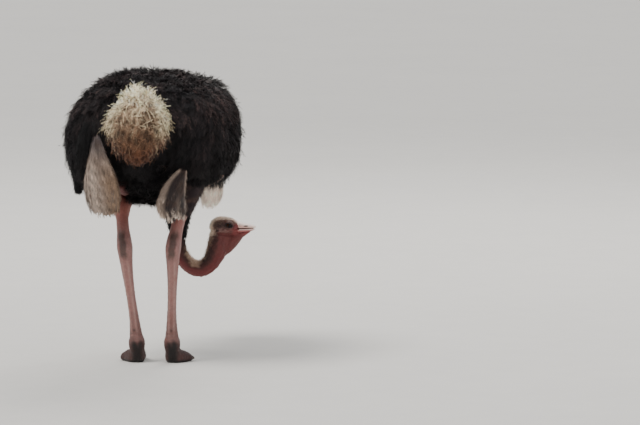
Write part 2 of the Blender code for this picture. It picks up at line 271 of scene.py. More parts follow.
# Where the head looks, taken from the eyes of the solids

def middleOf(name):
    low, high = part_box(name)
    return np.array((low + high) / 2)


eyeMiddle = (middleOf("eye_left") + middleOf("eye_right")) / 2
headSide = unit((middleOf("eye_left") - middleOf("eye_right")) * (1, 1, 0))
headAhead = np.cross(headSide, up)
headOrigin = np.array((eyeMiddle[0], eyeMiddle[1], 0)) - headAhead * 0.022


def headPoint(ahead, aside, height):
    return headOrigin + headAhead * ahead + headSide * aside + up * height


def headMeasures(points):
    # how far ahead, to the left cheek and up each point lies on the head
    offset = points - headOrigin
    return offset @ headAhead, offset @ headSide, points[:, 2]


# The neck's middle line from the chest to the skull, and where its nape faces

neckLine = np.array(((0, 0.330, 0.960), (0, 0.455, 0.895), (0.004, 0.555, 0.800), (0.015, 0.608, 0.695),
                     (0.027, 0.624, 0.592), (0.032, 0.622, 0.500), (0.046, 0.620, 0.414),
                     (0.089, 0.620, 0.364), (0.138, 0.621, 0.354), (0.181, 0.624, 0.384),
                     (0.209, 0.629, 0.443), (0.228, 0.636, 0.510)))
bendMiddle = np.array((0.122, 0.630, 0.520))


def neckMeasures(points):
    # share of the way along the neck, distance from its middle line, and how far each point faces the nape
    best = np.full(len(points), 9.0)
    share = np.zeros(len(points))
    offset = np.zeros_like(points)
    last = len(neckLine) - 1
    for step in range(last):
        start, run = neckLine[step], neckLine[step + 1] - neckLine[step]
        at = np.clip((points - start) @ run / (run @ run), 0, 1)
        apart = points - (start + at[:, None] * run)
        far = np.linalg.norm(apart, axis=1)
        closer = far < best
        best = np.where(closer, far, best)
        share = np.where(closer, (step + at) / last, share)
        offset[closer] = apart[closer]
    middle = points - offset
    nape = mixed(unit(np.array((0.15, 0.75, 0.66))) + 0 * points, unit(bendMiddle - middle),
                 ramp(share, 0.36, 0.52))
    return share, best, np.sum(unit(offset) * unit(nape), axis=1)


# Camera and stage

cameraView = {"turn": 8.0, "tilt": 5.5, "distance": 20.0, "lens": 250.0, "height": 0.669, "right": 0.7515}


def makeCamera(look):
    turn, tilt = math.radians(look["turn"]), math.radians(look["tilt"])
    back = Vector((math.sin(turn) * math.cos(tilt), -math.cos(turn) * math.cos(tilt), math.sin(tilt)))
    middle = Vector((0, 0, look["height"]))
    place = middle + back * look["distance"]
    aim = middle + Vector((math.cos(turn), math.sin(turn), 0)) * look["right"]
    camera = bpy.data.cameras.new("camera")
    camera.lens = look["lens"]
    camera.sensor_width = 36
    camera.clip_end = 400
    thing = bpy.data.objects.new("camera", camera)
    thing.location = place
    thing.rotation_euler = (aim - place).to_track_quat("-Z", "Y").to_euler()
    bpy.context.scene.collection.objects.link(thing)
    bpy.context.scene.camera = thing


stageLights = {
    "sky": {"place": (-5.0, -6.0, 12.0), "spread": 24, "power": 3.0, "colour": (1.0, 0.975, 0.94)},
    "fill": {"place": (7.0, -8.0, 4.0), "size": 6.0, "power": 210, "colour": (0.95, 0.97, 1.0)},
    "rim": {"place": (1.5, 6.5, 7.5), "size": 5.0, "power": 520, "colour": (1.0, 0.98, 0.95)},
    "air": 0.72,
}


def makeLights(look):
    for name in ("sky", "fill", "rim"):
        values = look[name]
        light = bpy.data.lights.new(name, "SUN" if name == "sky" else "AREA")
        if name == "sky":
            light.angle = math.radians(values["spread"])
        else:
            light.size = values["size"]
        light.energy = values["power"]
        light.color = values["colour"]
        thing = bpy.data.objects.new(name, light)
        thing.location = values["place"]
        thing.rotation_euler = (Vector((0, 0, 0.8)) - thing.location).to_track_quat("-Z", "Y").to_euler()
        bpy.context.scene.collection.objects.link(thing)
    world = bpy.data.worlds.new("air")
    world.use_nodes = True
    world.node_tree.nodes["Background"].inputs["Color"].default_value = (0.95, 0.97, 1.0, 1)
    world.node_tree.nodes["Background"].inputs["Strength"].default_value = look["air"]
    bpy.context.scene.world = world


# Materials

def addNode(tree, kind, settings=None, **inputs):
    node = tree.nodes.new(kind)
    for key, value in (settings or {}).items():
        setattr(node, key, value)
    for key, value in inputs.items():
        socket = node.inputs[key.replace("_", " ")]
        if isinstance(value, bpy.types.NodeSocket):
            tree.links.new(value, socket)
        else:
            socket.default_value = value
    return node


def mathNode(tree, operation, first, second):
    node = tree.nodes.new("ShaderNodeMath")
    node.operation = operation
    for socket, value in zip(node.inputs, (first, second)):
        if isinstance(value, bpy.types.NodeSocket):
            tree.links.new(value, socket)
        else:
            socket.default_value = value
    return node.outputs[0]


def mixNode(tree, factor, first, second, mode="MIX"):
    node = tree.nodes.new("ShaderNodeMix")
    node.data_type = "RGBA"
    node.blend_type = mode
    for index, value in ((0, factor), (6, first), (7, second)):
        if isinstance(value, bpy.types.NodeSocket):
            tree.links.new(value, node.inputs[index])
        elif index == 0:
            node.inputs[0].default_value = value
        else:
            node.inputs[index].default_value = (*value, 1)
    return node.outputs[2]


def newGroup(name, inputs, outputs):
    group = bpy.data.node_groups.new(name, "ShaderNodeTree")
    for title, kind, value in inputs:
        socket = group.interface.new_socket(name=title, in_out="INPUT", socket_type=kind)
        socket.default_value = value
    for title, kind in outputs:
        group.interface.new_socket(name=title, in_out="OUTPUT", socket_type=kind)
    return group, group.nodes.new("NodeGroupInput"), group.nodes.new("NodeGroupOutput")


def makeMottleGroup():
    # uneven colour: lighter and darker patches, and a second colour that creeps in
    group, start, end = newGroup(
        "Mottle",
        [("Color", "NodeSocketColor", (0.5, 0.5, 0.5, 1)), ("Scale", "NodeSocketFloat", 30.0),
         ("Amount", "NodeSocketFloat", 0.3), ("Stain", "NodeSocketColor", (0.3, 0.2, 0.15, 1)),
         ("Stain Amount", "NodeSocketFloat", 0.2), ("Keep Dark", "NodeSocketFloat", 0.0)],
        [("Color", "NodeSocketColor"), ("Mask", "NodeSocketFloat")])
    place = group.nodes.new("ShaderNodeTexCoord").outputs["Object"]
    broad = addNode(group, "ShaderNodeTexNoise", Vector=place, Scale=start.outputs["Scale"], Detail=4.0)
    finer = mathNode(group, "MULTIPLY", start.outputs["Scale"], 7.3)
    fine = addNode(group, "ShaderNodeTexNoise", Vector=place, Scale=finer, Detail=2.0)
    both = mathNode(group, "ADD", broad.outputs["Fac"], fine.outputs["Fac"])
    swing = mathNode(group, "MULTIPLY", mathNode(group, "SUBTRACT", both, 1.0), start.outputs["Amount"])
    gain = mathNode(group, "ADD", mathNode(group, "MULTIPLY", swing, 2.2), 1.0)
    bright = addNode(group, "ShaderNodeVectorMath", {"operation": "SCALE"}, Vector=start.outputs["Color"],
                     Scale=gain)
    patch = addNode(group, "ShaderNodeMapRange", {"clamp": True}, Value=broad.outputs["Fac"])
    patch.inputs["From Min"].default_value = 0.5
    patch.inputs["From Max"].default_value = 0.72
    strength = addNode(group, "ShaderNodeVectorMath", {"operation": "LENGTH"}, Vector=start.outputs["Color"])
    pale = mathNode(group, "MINIMUM", mathNode(group, "MULTIPLY", strength.outputs["Value"], 12.0), 1.0)
    dark = mathNode(group, "MULTIPLY", mathNode(group, "SUBTRACT", 1.0, pale), start.outputs["Keep Dark"])
    share = mathNode(group, "MULTIPLY", patch.outputs[0], start.outputs["Stain Amount"])
    share = mathNode(group, "MULTIPLY", share, mathNode(group, "SUBTRACT", 1.0, dark))
    colour = mixNode(group, share, bright.outputs[0], start.outputs["Stain"])
    group.links.new(colour, end.inputs["Color"])
    group.links.new(broad.outputs["Fac"], end.inputs["Mask"])
    return group


def makePoreGroup():
    # the small relief of skin or horn: cells with creases between, and a fine grain over them
    group, start, end = newGroup(
        "Pores", [("Scale", "NodeSocketFloat", 300.0), ("Grain", "NodeSocketFloat", 0.4)],
        [("Height", "NodeSocketFloat")])
    place = group.nodes.new("ShaderNodeTexCoord").outputs["Object"]
    cells = addNode(group, "ShaderNodeTexVoronoi", {"feature": "DISTANCE_TO_EDGE"},
                    Vector=place, Scale=start.outputs["Scale"])
    crease = addNode(group, "ShaderNodeMapRange", {"clamp": True}, Value=cells.outputs["Distance"])
    crease.inputs["From Max"].default_value = 0.12
    grain = addNode(group, "ShaderNodeTexNoise", Vector=place,
                    Scale=mathNode(group, "MULTIPLY", start.outputs["Scale"], 2.7), Detail=3.0)
    rough = mathNode(group, "MULTIPLY", grain.outputs["Fac"], start.outputs["Grain"])
    group.links.new(mathNode(group, "ADD", crease.outputs[0], rough), end.inputs["Height"])
    return group


mottleGroup = makeMottleGroup()
poreGroup = makePoreGroup()

finishes = {
    "Black plumage": {"mottle": 26, "uneven": 0.50, "stain": linear(46, 37, 36), "stained": 0.18,
                      "rough": (0.50, 0.78), "pores": 420, "bump": 0.25, "sheen": 0.03, "gloss": 0.22},
    "White plumage": {"mottle": 18, "uneven": 0.30, "stain": linear(150, 118, 94), "stained": 0.22,
                      "rough": (0.60, 0.85), "pores": 500, "bump": 0.2, "sheen": 0.15, "gloss": 0.25},
    "Tail plumage": {"mottle": 24, "uneven": 0.35, "stain": linear(128, 84, 58), "stained": 0.25,
                     "rough": (0.60, 0.85), "pores": 500, "bump": 0.2, "sheen": 0.15, "gloss": 0.25},
    "Neck down": {"mottle": 40, "uneven": 0.35, "stain": linear(120, 84, 74), "stained": 0.2,
                  "rough": (0.60, 0.85), "pores": 700, "bump": 0.1, "sheen": 0.2, "gloss": 0.25},
    "Ostrich skin": {"mottle": 22, "uneven": 0.30, "stain": linear(98, 58, 52), "stained": 0.35,
                     "rough": (0.46, 0.70), "pores": 620, "bump": 0.35, "sheen": 0.03, "gloss": 0.34,
                     "keepDark": 1.0, "soft": 0.06},
    "Bill horn": {"mottle": 60, "uneven": 0.22, "stain": linear(120, 78, 70), "stained": 0.3,
                  "rough": (0.28, 0.48), "pores": 900, "bump": 0.08, "sheen": 0.0, "gloss": 0.5},
    "Claw horn": {"mottle": 60, "uneven": 0.4, "stain": linear(40, 30, 26), "stained": 0.5,
                  "rough": (0.35, 0.6), "pores": 240, "bump": 0.3, "sheen": 0.0, "gloss": 0.45},
    "Eye": {"mottle": 260, "uneven": 0.5, "stain": linear(30, 16, 8), "stained": 0.3,
            "rough": (0.07, 0.12), "pores": 900, "bump": 0.0, "sheen": 0.0, "gloss": 0.16},
}


def makeFinish(name):
    look = finishes[name]
    material = bpy.data.materials.new(name)
    material.use_nodes = True
    tree = material.node_tree
    shader = tree.nodes["Principled BSDF"]
    tint = addNode(tree, "ShaderNodeAttribute", {"attribute_name": "tint"})
    mottle = addNode(tree, "ShaderNodeGroup", {"node_tree": mottleGroup}, Color=tint.outputs["Color"],
                     Scale=float(look["mottle"]), Amount=look["uneven"], Stain_Amount=look["stained"],
                     Keep_Dark=look.get("keepDark", 0.0))
    mottle.inputs["Stain"].default_value = (*look["stain"], 1)
    tree.links.new(mottle.outputs["Color"], shader.inputs["Base Color"])
    pores = addNode(tree, "ShaderNodeGroup", {"node_tree": poreGroup}, Scale=float(look["pores"]))
    rough = addNode(tree, "ShaderNodeMapRange", Value=mottle.outputs["Mask"])
    rough.inputs["From Min"].default_value = 0.3
    rough.inputs["From Max"].default_value = 0.7
    rough.inputs["To Min"].default_value = look["rough"][0]
    rough.inputs["To Max"].default_value = look["rough"][1]
    tree.links.new(rough.outputs[0], shader.inputs["Roughness"])
    if look["bump"]:
        bump = addNode(tree, "ShaderNodeBump", Strength=look["bump"], Distance=0.0008,
                       Height=pores.outputs["Height"])
        tree.links.new(bump.outputs["Normal"], shader.inputs["Normal"])
    shader.inputs["Specular IOR Level"].default_value = look["gloss"]
    shader.inputs["Sheen Weight"].default_value = look["sheen"]
    shader.inputs["Subsurface Weight"].default_value = look.get("soft", 0.0)
    return material


materials = {name: makeFinish(name) for name in finishes}


def makeFloor():
    material = bpy.data.materials.new("Studio floor")
    material.use_nodes = True
    tree = material.node_tree
    shader = tree.nodes["Principled BSDF"]
    mottle = addNode(tree, "ShaderNodeGroup", {"node_tree": mottleGroup}, Scale=0.8, Amount=0.03,
                     Stain_Amount=0.0)
    mottle.inputs["Color"].default_value = (0.60, 0.585, 0.555, 1)
    tree.links.new(mottle.outputs["Color"], shader.inputs["Base Color"])
    shader.inputs["Roughness"].default_value = 0.85
    shader.inputs["Specular IOR Level"].default_value = 0.2
    mesh = bpy.data.meshes.new("floor")
    mesh.from_pydata([(-150, -150, -0.001), (150, -150, -0.001), (150, 150, -0.001), (-150, 150, -0.001)],
                     [], [(0, 1, 2, 3)])
    mesh.materials.append(material)
    floor = bpy.data.objects.new("floor", mesh)
    bpy.context.scene.collection.objects.link(floor)


makeCamera(cameraView)
makeLights(stageLights)
makeFloor()
print("stage and materials made")


# The outer form of the black coat, which every body plume follows

bodyNodes = ["trunk", "wing_left", "wing_right", "neck_base", "neck_lower"]
coatGuide = Guide(softForm(bodyNodes, 0.0006, 0.012, 10))

# The mop's outline: how high each station lies and how wide the mop is there
tailShape = {"top": -0.016, "bottom": 0.008,
             "rise": (0.0, 0.05, 0.12, 0.24, 0.33, 0.42, 0.51, 0.61, 0.72, 0.81, 0.90, 0.96, 1.0),
             "half": (0.034, 0.050, 0.075, 0.103, 0.116, 0.124, 0.129, 0.131, 0.110, 0.088, 0.064,
                      0.040, 0.018),
             "slots": 24}


def tailForm(look):
    points, triangles = softForm(["tail"], 0.0, 0.010, 8)
    low, high = points[:, 2].min(), points[:, 2].max()
    rise = (points[:, 2] - low) / (high - low)
    middle = middleOf("tail")[0]
    slots = look["slots"]
    widest = np.zeros(slots)
    np.maximum.at(widest, np.clip((rise * slots).astype(int), 0, slots - 1), np.abs(points[:, 0] - middle))
    wanted = np.interp(rise, look["rise"], look["half"])
    scale = wanted / np.interp(rise, (np.arange(slots) + 0.5) / slots, widest)
    behind = ramp(points[:, 1], -0.42, -0.50)
    points[:, 0] += (points[:, 0] - middle) * (np.minimum(scale, 1.05) - 1) * behind
    points[:, 2] += (look["bottom"] * (1 - rise) + look["top"] * rise) * behind
    return evened(points, triangles, 4), triangles


tailGuide = Guide(tailForm(tailShape))
print("coat guides made,", len(coatGuide.points), "points")

# The plumes that hang free of the coat
tipNodes = ("wing_tip_left", "wing_tip_right", "flank_plume")

fleshLook = {"tailDepth": 0.034, "tipDepth": 0.012, "voxel": 0.0055,
             "neckDepth": ((0.0, 0.052), (0.12, 0.048), (0.30, 0.034), (0.35, 0.018), (0.40, 0.004),
                           (0.43, 0.0), (1.0, 0.0))}


def seenAcross(points):
    # how far to the right each point lies for somebody a little right of straight behind
    return points[:, 0] * 0.99 + points[:, 1] * 0.139


def bareThigh(points):
    # where the inside of the left thigh shows red between the hanging plumes and the belly
    seen = seenAcross(points)
    strip = ramp(seen, -0.106, -0.120) * ramp(seen, -0.215, -0.200)
    return strip * ramp(points[:, 2], 0.830, 0.806) * ramp(points[:, 1], 0.13, 0.07)


def fleshCore():
    points, normals = coatGuide.points, coatGuide.normals
    share = neckMeasures(points)[0]
    depth = np.interp(share, *zip(*fleshLook["neckDepth"])) * (1 - 0.80 * bareThigh(points))
    inner = evened(points - normals * depth[:, None], coatGuide.triangles, 6, keepSize=False)
    return inner, coatGuide.triangles


def fleshForm():
    limbs = [f"{part}_{side}" for side in ("left", "right")
             for part in ("thigh", "hock", "shank", "foot", "toe_inner", "toe_outer")]
    head = ["neck_bend_near", "neck_bend_far", "neck_upper", "throat", "head"]
    forms = [fleshCore()] + [nodeForm(name, 0.0030 if name == "throat" else 0.0006) for name in limbs + head]
    forms += [nodeForm(name, 0.0015) for name in ("eye_left", "eye_right")]
    tail = (tailGuide.points - tailGuide.normals * fleshLook["tailDepth"], tailGuide.triangles)
    forms.append(tail)
    for name in tipNodes:
        points, triangles = softForm([name], 0.0, 0.006, 4)
        forms.append((points - normalsOf(points, triangles) * fleshLook["tipDepth"], triangles))
    points, triangles = remeshed(joined(forms), fleshLook["voxel"])
    return evened(points, triangles, 7), triangles


# Where the skin ends and the horn of the bill begins, by height
hornEdge = {"height": (0.515, 0.528, 0.541, 0.553, 0.566, 0.580),
            "ahead": (0.070, 0.062, 0.059, 0.068, 0.060, 0.047)}


def edgeAt(height):
    return np.interp(height, hornEdge["height"], hornEdge["ahead"])


def fromEyes(points):
    # distance from the middle of the nearer eye
    return np.minimum(np.linalg.norm(points - middleOf("eye_left"), axis=1),
                      np.linalg.norm(points - middleOf("eye_right"), axis=1))


def skinSpacing(middles):
    # the finest mesh where the lids are, then the head, the feet and the bare skin
    ahead, aside, height = headMeasures(middles)
    head = (ahead > -0.10) & (height > 0.42) & (middles[:, 1] > 0.5)
    bare = (middles[:, 2] < 0.62) & (middles[:, 1] < 0.3) | (middles[:, 1] > 0.5) & (middles[:, 2] < 0.56)
    spacing = np.where(bare, 0.0064, 0.02)
    spacing = np.where((middles[:, 2] < 0.13) & (middles[:, 1] < 0.3), 0.0042, spacing)
    spacing = np.where(head, 0.0030, spacing)
    edge = edgeAt(height)
    spacing = np.where(head & (ahead > edge - 0.014) & (height > 0.505), 0.0016, spacing)
    spacing = np.where(head & (np.abs(ahead - edge) < 0.006) & (height > 0.505), 0.0012, spacing)
    return np.where(fromEyes(middles) < 0.029, 0.0013, spacing)


# The head, throat and upper neck in a much finer form of the same solids
headNodes = ["neck_bend_far", "neck_upper", "throat", "head", "eye_left", "eye_right"]
headGuide = Guide(softForm(headNodes, 0.0006, 0.0024, 9))


def exactHead(points):
    share = neckMeasures(points)[0]
    near = (points[:, 1] > 0.5) & (points[:, 2] < 0.61) & (share > 0.70)
    found = headGuide.nearest(points[near])[0]
    amount = ramp(share[near], 0.72, 0.80)
    points = points.copy()
    points[near] = mixed(points[near], found, amount)
    return points


print("building the skin")
skinPoints, skinTriangles = fleshForm()
skinPoints, skinTriangles = refined(skinPoints, skinTriangles, skinSpacing, 4)
skinPoints = exactHead(skinPoints)


def jawCrease(points):
    # where head and throat meet, from the ear to under the gape
    ahead, aside, height = headMeasures(points)
    line = np.interp(ahead, (-0.06, -0.03, 0.02, 0.07), (0.512, 0.512, 0.508, 0.520))
    along = ramp(ahead, -0.085, -0.060) * ramp(ahead, 0.075, 0.050) * (points[:, 1] > 0.5)
    return along * ramp(np.abs(height - line), 0.026, 0.010)


skinPoints = evened(skinPoints, skinTriangles, 30, jawCrease(skinPoints))
print("skin has", len(skinTriangles), "triangles")


# The carving of the skin: lids, lores, mouth, ears, folds, sinews and scutes

lidLook = {"radius": 0.0205, "thick": 0.0015, "long": 0.0128, "above": 0.0078, "below": 0.0074, "reach": 1.12}


def lidMeasures(points, name, side):
    # distance and direction from the eye's middle, angle off its axis, and share of the opening: 1 at its rim
    offset = points - middleOf(name)
    far = np.linalg.norm(offset, axis=1)
    out = unit(offset)
    facing = out @ (headSide * side)
    # the opening is an almond, drawn down a little to its front corner
    along = out @ headAhead
    high = out @ up + along * 0.16
    tall = np.where(high > 0, lidLook["above"], lidLook["below"])
    almond = np.hypot(along * lidLook["radius"] / lidLook["long"], high * lidLook["radius"] / tall)
    return far, out, np.arccos(np.clip(facing, -1, 1)), np.where(facing > 0, almond, 9.0)


def carveLids(points):
    for side, name in ((1, "eye_left"), (-1, "eye_right")):
        far, out, angle, almond = lidMeasures(points, name, side)
        near = (far < 0.045) & (almond < 9)
        ball = lidLook["radius"] + 0.0013
        lid = lidLook["radius"] + lidLook["thick"] + 0.0009 * bell(almond, 1.12, 0.10)
        lid = lid - 0.0010 * bell(almond, 1.55, 0.13)
        target = np.where(almond < 1, lidLook["radius"] - 0.004, lid)
        share = ramp(angle, lidLook["reach"] + 0.35, lidLook["reach"] - 0.25) * near
        radius = far + (target - far) * share
        radius = np.where(near, radius, far)
        radius = np.where((almond > 1.05) & (radius < ball), ball, radius)
        points = middleOf(name) + out * radius[:, None]
    return points


def carveHead(points, normals):
    ahead, aside, height = headMeasures(points)
    flank = np.abs(aside)
    change = np.zeros(len(points))
    onHead = (ahead > -0.11) & (points[:, 1] > 0.5) & (height > 0.40)
    # brow ridge over the eye and hollow lores before it
    change += 0.0024 * bell(ahead, 0.026, 0.024) * bell(height, 0.5785, 0.006) * (flank > 0.018)
    change -= 0.0034 * bell(ahead, 0.053, 0.010) * bell(height, 0.551, 0.009) * (flank > 0.012)
    # the gape runs back under the eye, with a soft lip on each side
    gape = 0.5385 - (0.060 - ahead) * 0.16
    inside = ramp(ahead, -0.002, 0.014) * (flank > 0.012)
    change -= 0.0034 * bell(height, gape, 0.0022) * inside
    change += 0.0014 * (bell(height, gape + 0.0058, 0.003) + bell(height, gape - 0.0062, 0.0034)) * inside
    # ear opening with a raised rim
    ear = np.hypot((ahead + 0.036) / 0.0105, (height - 0.533) / 0.0085)
    change -= 0.0060 * np.exp(-(ear / 0.75) ** 4) * (flank > 0.015)
    change += 0.0020 * bell(ear, 1.25, 0.32) * (flank > 0.015)
    # cheek muscle, and folds of loose skin down the throat
    change += 0.0018 * bell(ahead, -0.004, 0.018) * bell(height, 0.520, 0.011)
    folds = np.sin((ahead * 0.75 + height * 0.55) * 430 + waves(points, 0.035, 41) * 3.0)
    loose = ramp(height, 0.528, 0.508) * ramp(ahead, 0.10, 0.08)
    change += 0.0004 * folds * (0.5 + waves(points, 0.05, 40)) * loose
    # the skin ends under the horn: on top at the forehead, on the sides before the lores
    edge = edgeAt(height)
    under = np.maximum(ramp(height, 0.530, 0.536), ramp(flank, 0.020, 0.024)) * ramp(height, 0.520, 0.527)
    change -= 0.0050 * ramp(ahead - edge, 0.0, 0.004) * under
    return points + normals * (change * onHead)[:, None]


def downDepth(points):
    # the skin lies this far under the outer form, where down and bristles stand on it
    share, far, nape = neckMeasures(points)
    ahead, aside, height = headMeasures(points)
    forward = points[:, 1] > 0.5
    onHead = ramp(ahead + (height - 0.53) * 0.2, -0.095, -0.080) * ramp(height, 0.500, 0.515) * forward
    top = ramp(height, 0.548, 0.566) * ramp(edgeAt(height) - ahead, 0.003, 0.022)
    crown = np.maximum(top, ramp(ahead, -0.028, -0.045))
    onNeck = forward * ramp(share, 0.43, 0.48) * (points[:, 2] < 0.60)
    return onHead * 0.0050 * crown + (1 - onHead) * onNeck * 0.0055 * ramp(nape, 0.1, 0.8)


def carveNeck(points, normals):
    share, far, nape = neckMeasures(points)
    onNeck = (points[:, 1] > 0.5) & (far < 0.075) * (share > 0.40) * (share < 0.985)
    # rings pressed together on the inside of the bend, long folds on the outside
    rings = np.sin(share * 330 + waves(points, 0.03, 42) * 2.2)
    long = np.sin(np.arccos(np.clip(nape, -1, 1)) * 15 + waves(points, 0.05, 43) * 2.0)
    change = 0.0008 * rings * ramp(nape, -0.4, 0.9) + 0.0007 * long * ramp(nape, 0.4, -0.5)
    change += 0.0006 * waves(points, 0.014, 44)
    return points + normals * (change * onNeck)[:, None]


# Where each leg stands: half-distances from the middle at shin, hock and ankle, and the heights
legStand = {"left": (0.127, 0.106, 0.067), "right": (0.131, 0.114, 0.093)}
hockHeight, ankleHeight = 0.540, 0.088


def legMeasures(points, side):
    # distance sideways from the middle of the lower leg, and whether the point is on this leg
    sign = -1 if side == "left" else 1
    shin, hock, ankle = legStand[side]
    height = points[:, 2]
    middleX = sign * np.interp(height, (ankleHeight, hockHeight, hockHeight + 0.115), (ankle, hock, shin))
    onLeg = (np.abs(points[:, 0] - middleX) < 0.075) & (points[:, 1] < 0.3) & (height < 0.80)
    return points[:, 0] - middleX, onLeg


def carveLegs(points, normals):
    height = points[:, 2]
    for side in ("left", "right"):
        across, onLeg = legMeasures(points, side)
        back = ramp(-normals[:, 1], 0.05, 0.75)
        front = ramp(normals[:, 1], 0.2, 0.8)
        shank = ramp(height, 0.12, 0.17) * ramp(height, 0.50, 0.44)
        # two sinews down the back of the shank with a groove between them
        change = -0.0032 * bell(across, 0, 0.0045) * back * shank
        change += 0.0013 * bell(np.abs(across), 0.0115, 0.0045) * back * shank
        # the hock's knuckles and the hollow above its heel
        change += 0.0040 * bell(np.abs(across), 0.022, 0.010) * bell(height, hockHeight - 0.012, 0.022)
        change -= 0.0035 * bell(height, 0.590, 0.016) * back
        change += 0.0040 * bell(height, 0.528, 0.022) * bell(across, 0, 0.015) * back
        # the long sinew above the hock
        above = ramp(height, 0.575, 0.61) * ramp(height, 0.74, 0.68)
        change += 0.0030 * bell(across, 0, 0.007) * back * above
        # scutes stacked down the front of the shank and over the toes
        step = (height * 62) % 1.0
        scute = np.minimum(step, 1 - step)
        change -= 0.0009 * bell(scute, 0, 0.09) * front * shank
        change += 0.0006 * waves(points, 0.012, 45) * (height < 0.7)
        # the ankle's pads, pinched above
        change -= 0.0026 * bell(height, 0.128, 0.012) * back
        change += 0.0030 * bell(height, 0.088, 0.020) * back
        points = points + normals * (change * onLeg)[:, None]
    return points


def carveToes(points, normals):
    height = points[:, 2]
    onToe = (height < 0.085) & (height > 0.006) & (points[:, 1] < 0.3) & (points[:, 1] > -0.06)
    step = (points[:, 1] * 105 + np.abs(points[:, 0]) * 20) % 1.0
    scute = np.minimum(step, 1 - step)
    top = ramp(normals[:, 2], 0.1, 0.7)
    pads = np.sin(points[:, 1] * 118 + 0.6) * ramp(height, 0.026, 0.008)
    change = -0.0012 * bell(scute, 0, 0.10) * top + 0.0011 * pads
    points = points + normals * (change * onToe)[:, None]
    # the roots of the toes rise to the ankle
    for side in ("left", "right"):
        sign = -1 if side == "left" else 1
        far = np.hypot(points[:, 0] - sign * legStand[side][2], points[:, 1] + 0.05)
        lift = 0.022 * ramp(far, 0.115, 0.045) * ramp(height, 0.004, 0.040) * ramp(height, 0.150, 0.050)
        points[:, 2] += lift * (points[:, 1] < 0.3)
    return points


skinPoints = skinPoints - normalsOf(skinPoints, skinTriangles) * downDepth(skinPoints)[:, None]
skinPoints = evened(skinPoints, skinTriangles, 2)
for carve in (carveHead, carveNeck, carveLegs, carveToes):
    skinPoints = carve(skinPoints, normalsOf(skinPoints, skinTriangles))
skinPoints = carveLids(skinPoints)
skinPoints[:, 2] = np.maximum(skinPoints[:, 2], 0.0)
skinNormals = normalsOf(skinPoints, skinTriangles)

skinColours = {
    "under black": linear(16, 14, 15), "leg": linear(144, 105, 99), "thigh": linear(170, 108, 97),
    "hock patch": linear(72, 56, 50), "sinew": linear(166, 134, 126), "heel": linear(12, 7, 6),
    "toe": linear(58, 37, 34), "nape": linear(176, 142, 120), "neck": linear(66, 30, 25),
    "neck red": linear(102, 41, 40), "neck dark": linear(56, 34, 31), "throat": linear(100, 48, 45),
    "crown": linear(120, 92, 80), "crown rim": linear(206, 178, 158), "eye patch": linear(50, 27, 25),
    "lore": linear(126, 60, 58), "lid": linear(36, 22, 21), "mouth": linear(128, 66, 62),
    "cheek": linear(116, 86, 80), "brown": linear(66, 40, 37), "tail": linear(96, 70, 54),
    "white": linear(120, 104, 94),
}


def legColours(points, normals):
    height = points[:, 2]
    colour = skinColours["leg"] * (1 - 0.40 * ramp(height, 0.32, 0.12))[:, None]
    colour = mixed(colour, skinColours["thigh"], ramp(height, 0.56, 0.70))
    colour = mixed(colour, skinColours["neck"], 0.80 * ramp(height, 0.68, 0.76))
    for side in ("left", "right"):
        across, onLeg = legMeasures(points, side)
        back = ramp(-normals[:, 1], -0.1, 0.5) * onLeg
        ragged = waves(points, 0.035, 51) * 0.004 + waves(points, 0.008, 50) * 0.002
        patch = ramp(height, 0.462, 0.505) * ramp(height, 0.620, 0.585)
        patch = patch * ramp(np.abs(across) + ragged, 0.022, 0.009)
        colour = mixed(colour, skinColours["hock patch"], 0.85 * patch * back)
        sinew = bell(np.abs(across), 0.012, 0.004) * ramp(height, 0.50, 0.44) * ramp(height, 0.10, 0.18)
        colour = mixed(colour, skinColours["sinew"], 0.55 * sinew * back)
        spot = bell(height, 0.150, 0.008) * bell(across, 0, 0.006)
        colour = mixed(colour, skinColours["heel"], 0.7 * spot * back)
        uneven = height + waves(points, 0.04, 52) * 0.012
        colour = mixed(colour, skinColours["toe"], 0.95 * ramp(uneven, 0.128, 0.070) * onLeg)
        heel = ramp(uneven, 0.112, 0.072) * ramp(np.abs(across - 0.004), 0.034, 0.010)
        colour = mixed(colour, skinColours["heel"], 0.95 * heel * ramp(-normals[:, 1], -0.1, 0.6) * onLeg)
    low = ramp(height, 0.085, 0.055) * (points[:, 1] < 0.3)
    colour = mixed(colour, skinColours["toe"], low * ramp(points[:, 1], -0.05, -0.01))
    sole = ramp(height, 0.016, 0.004)
    return mixed(colour, skinColours["heel"], 0.8 * sole)


def creaminess(points):
    # how pale the down is: a broad band of pale down inside the bend, and along the rest of the nape only a
    # thin pale fringe, a painted highlight of down lit from behind
    share, far, nape = neckMeasures(points)
    start = np.interp(share, (0.44, 0.56, 0.66, 0.71, 0.78, 1.0), (0.66, 0.45, 0.00, 0.15, 0.74, 0.80))
    ragged = waves(points, 0.016, 53) * 0.16
    return ramp(nape + ragged, start - 0.16, start + 0.44) * ramp(share, 0.48, 0.58)


def neckColours(points):
    share, far, nape = neckMeasures(points)
    ragged = waves(points, 0.02, 55) * 0.18
    colour = mixed(skinColours["neck"] + 0 * points, skinColours["neck red"], ramp(nape, 0.10, -0.50))
    colour = mixed(colour, skinColours["throat"], ramp(share, 0.82, 0.95))
    # painted shade: a dark band along the nape side of the rising neck, just inside the pale fringe
    dark = ramp(share, 0.71, 0.79) * ramp(nape + ragged, -0.15, 0.45)
    colour = mixed(colour, skinColours["neck dark"], 0.85 * dark)
    colour = mixed(colour, skinColours["nape"], creaminess(points))
    return mixed(colour, skinColours["under black"], ramp(share + ragged * 0.12, 0.53, 0.44))


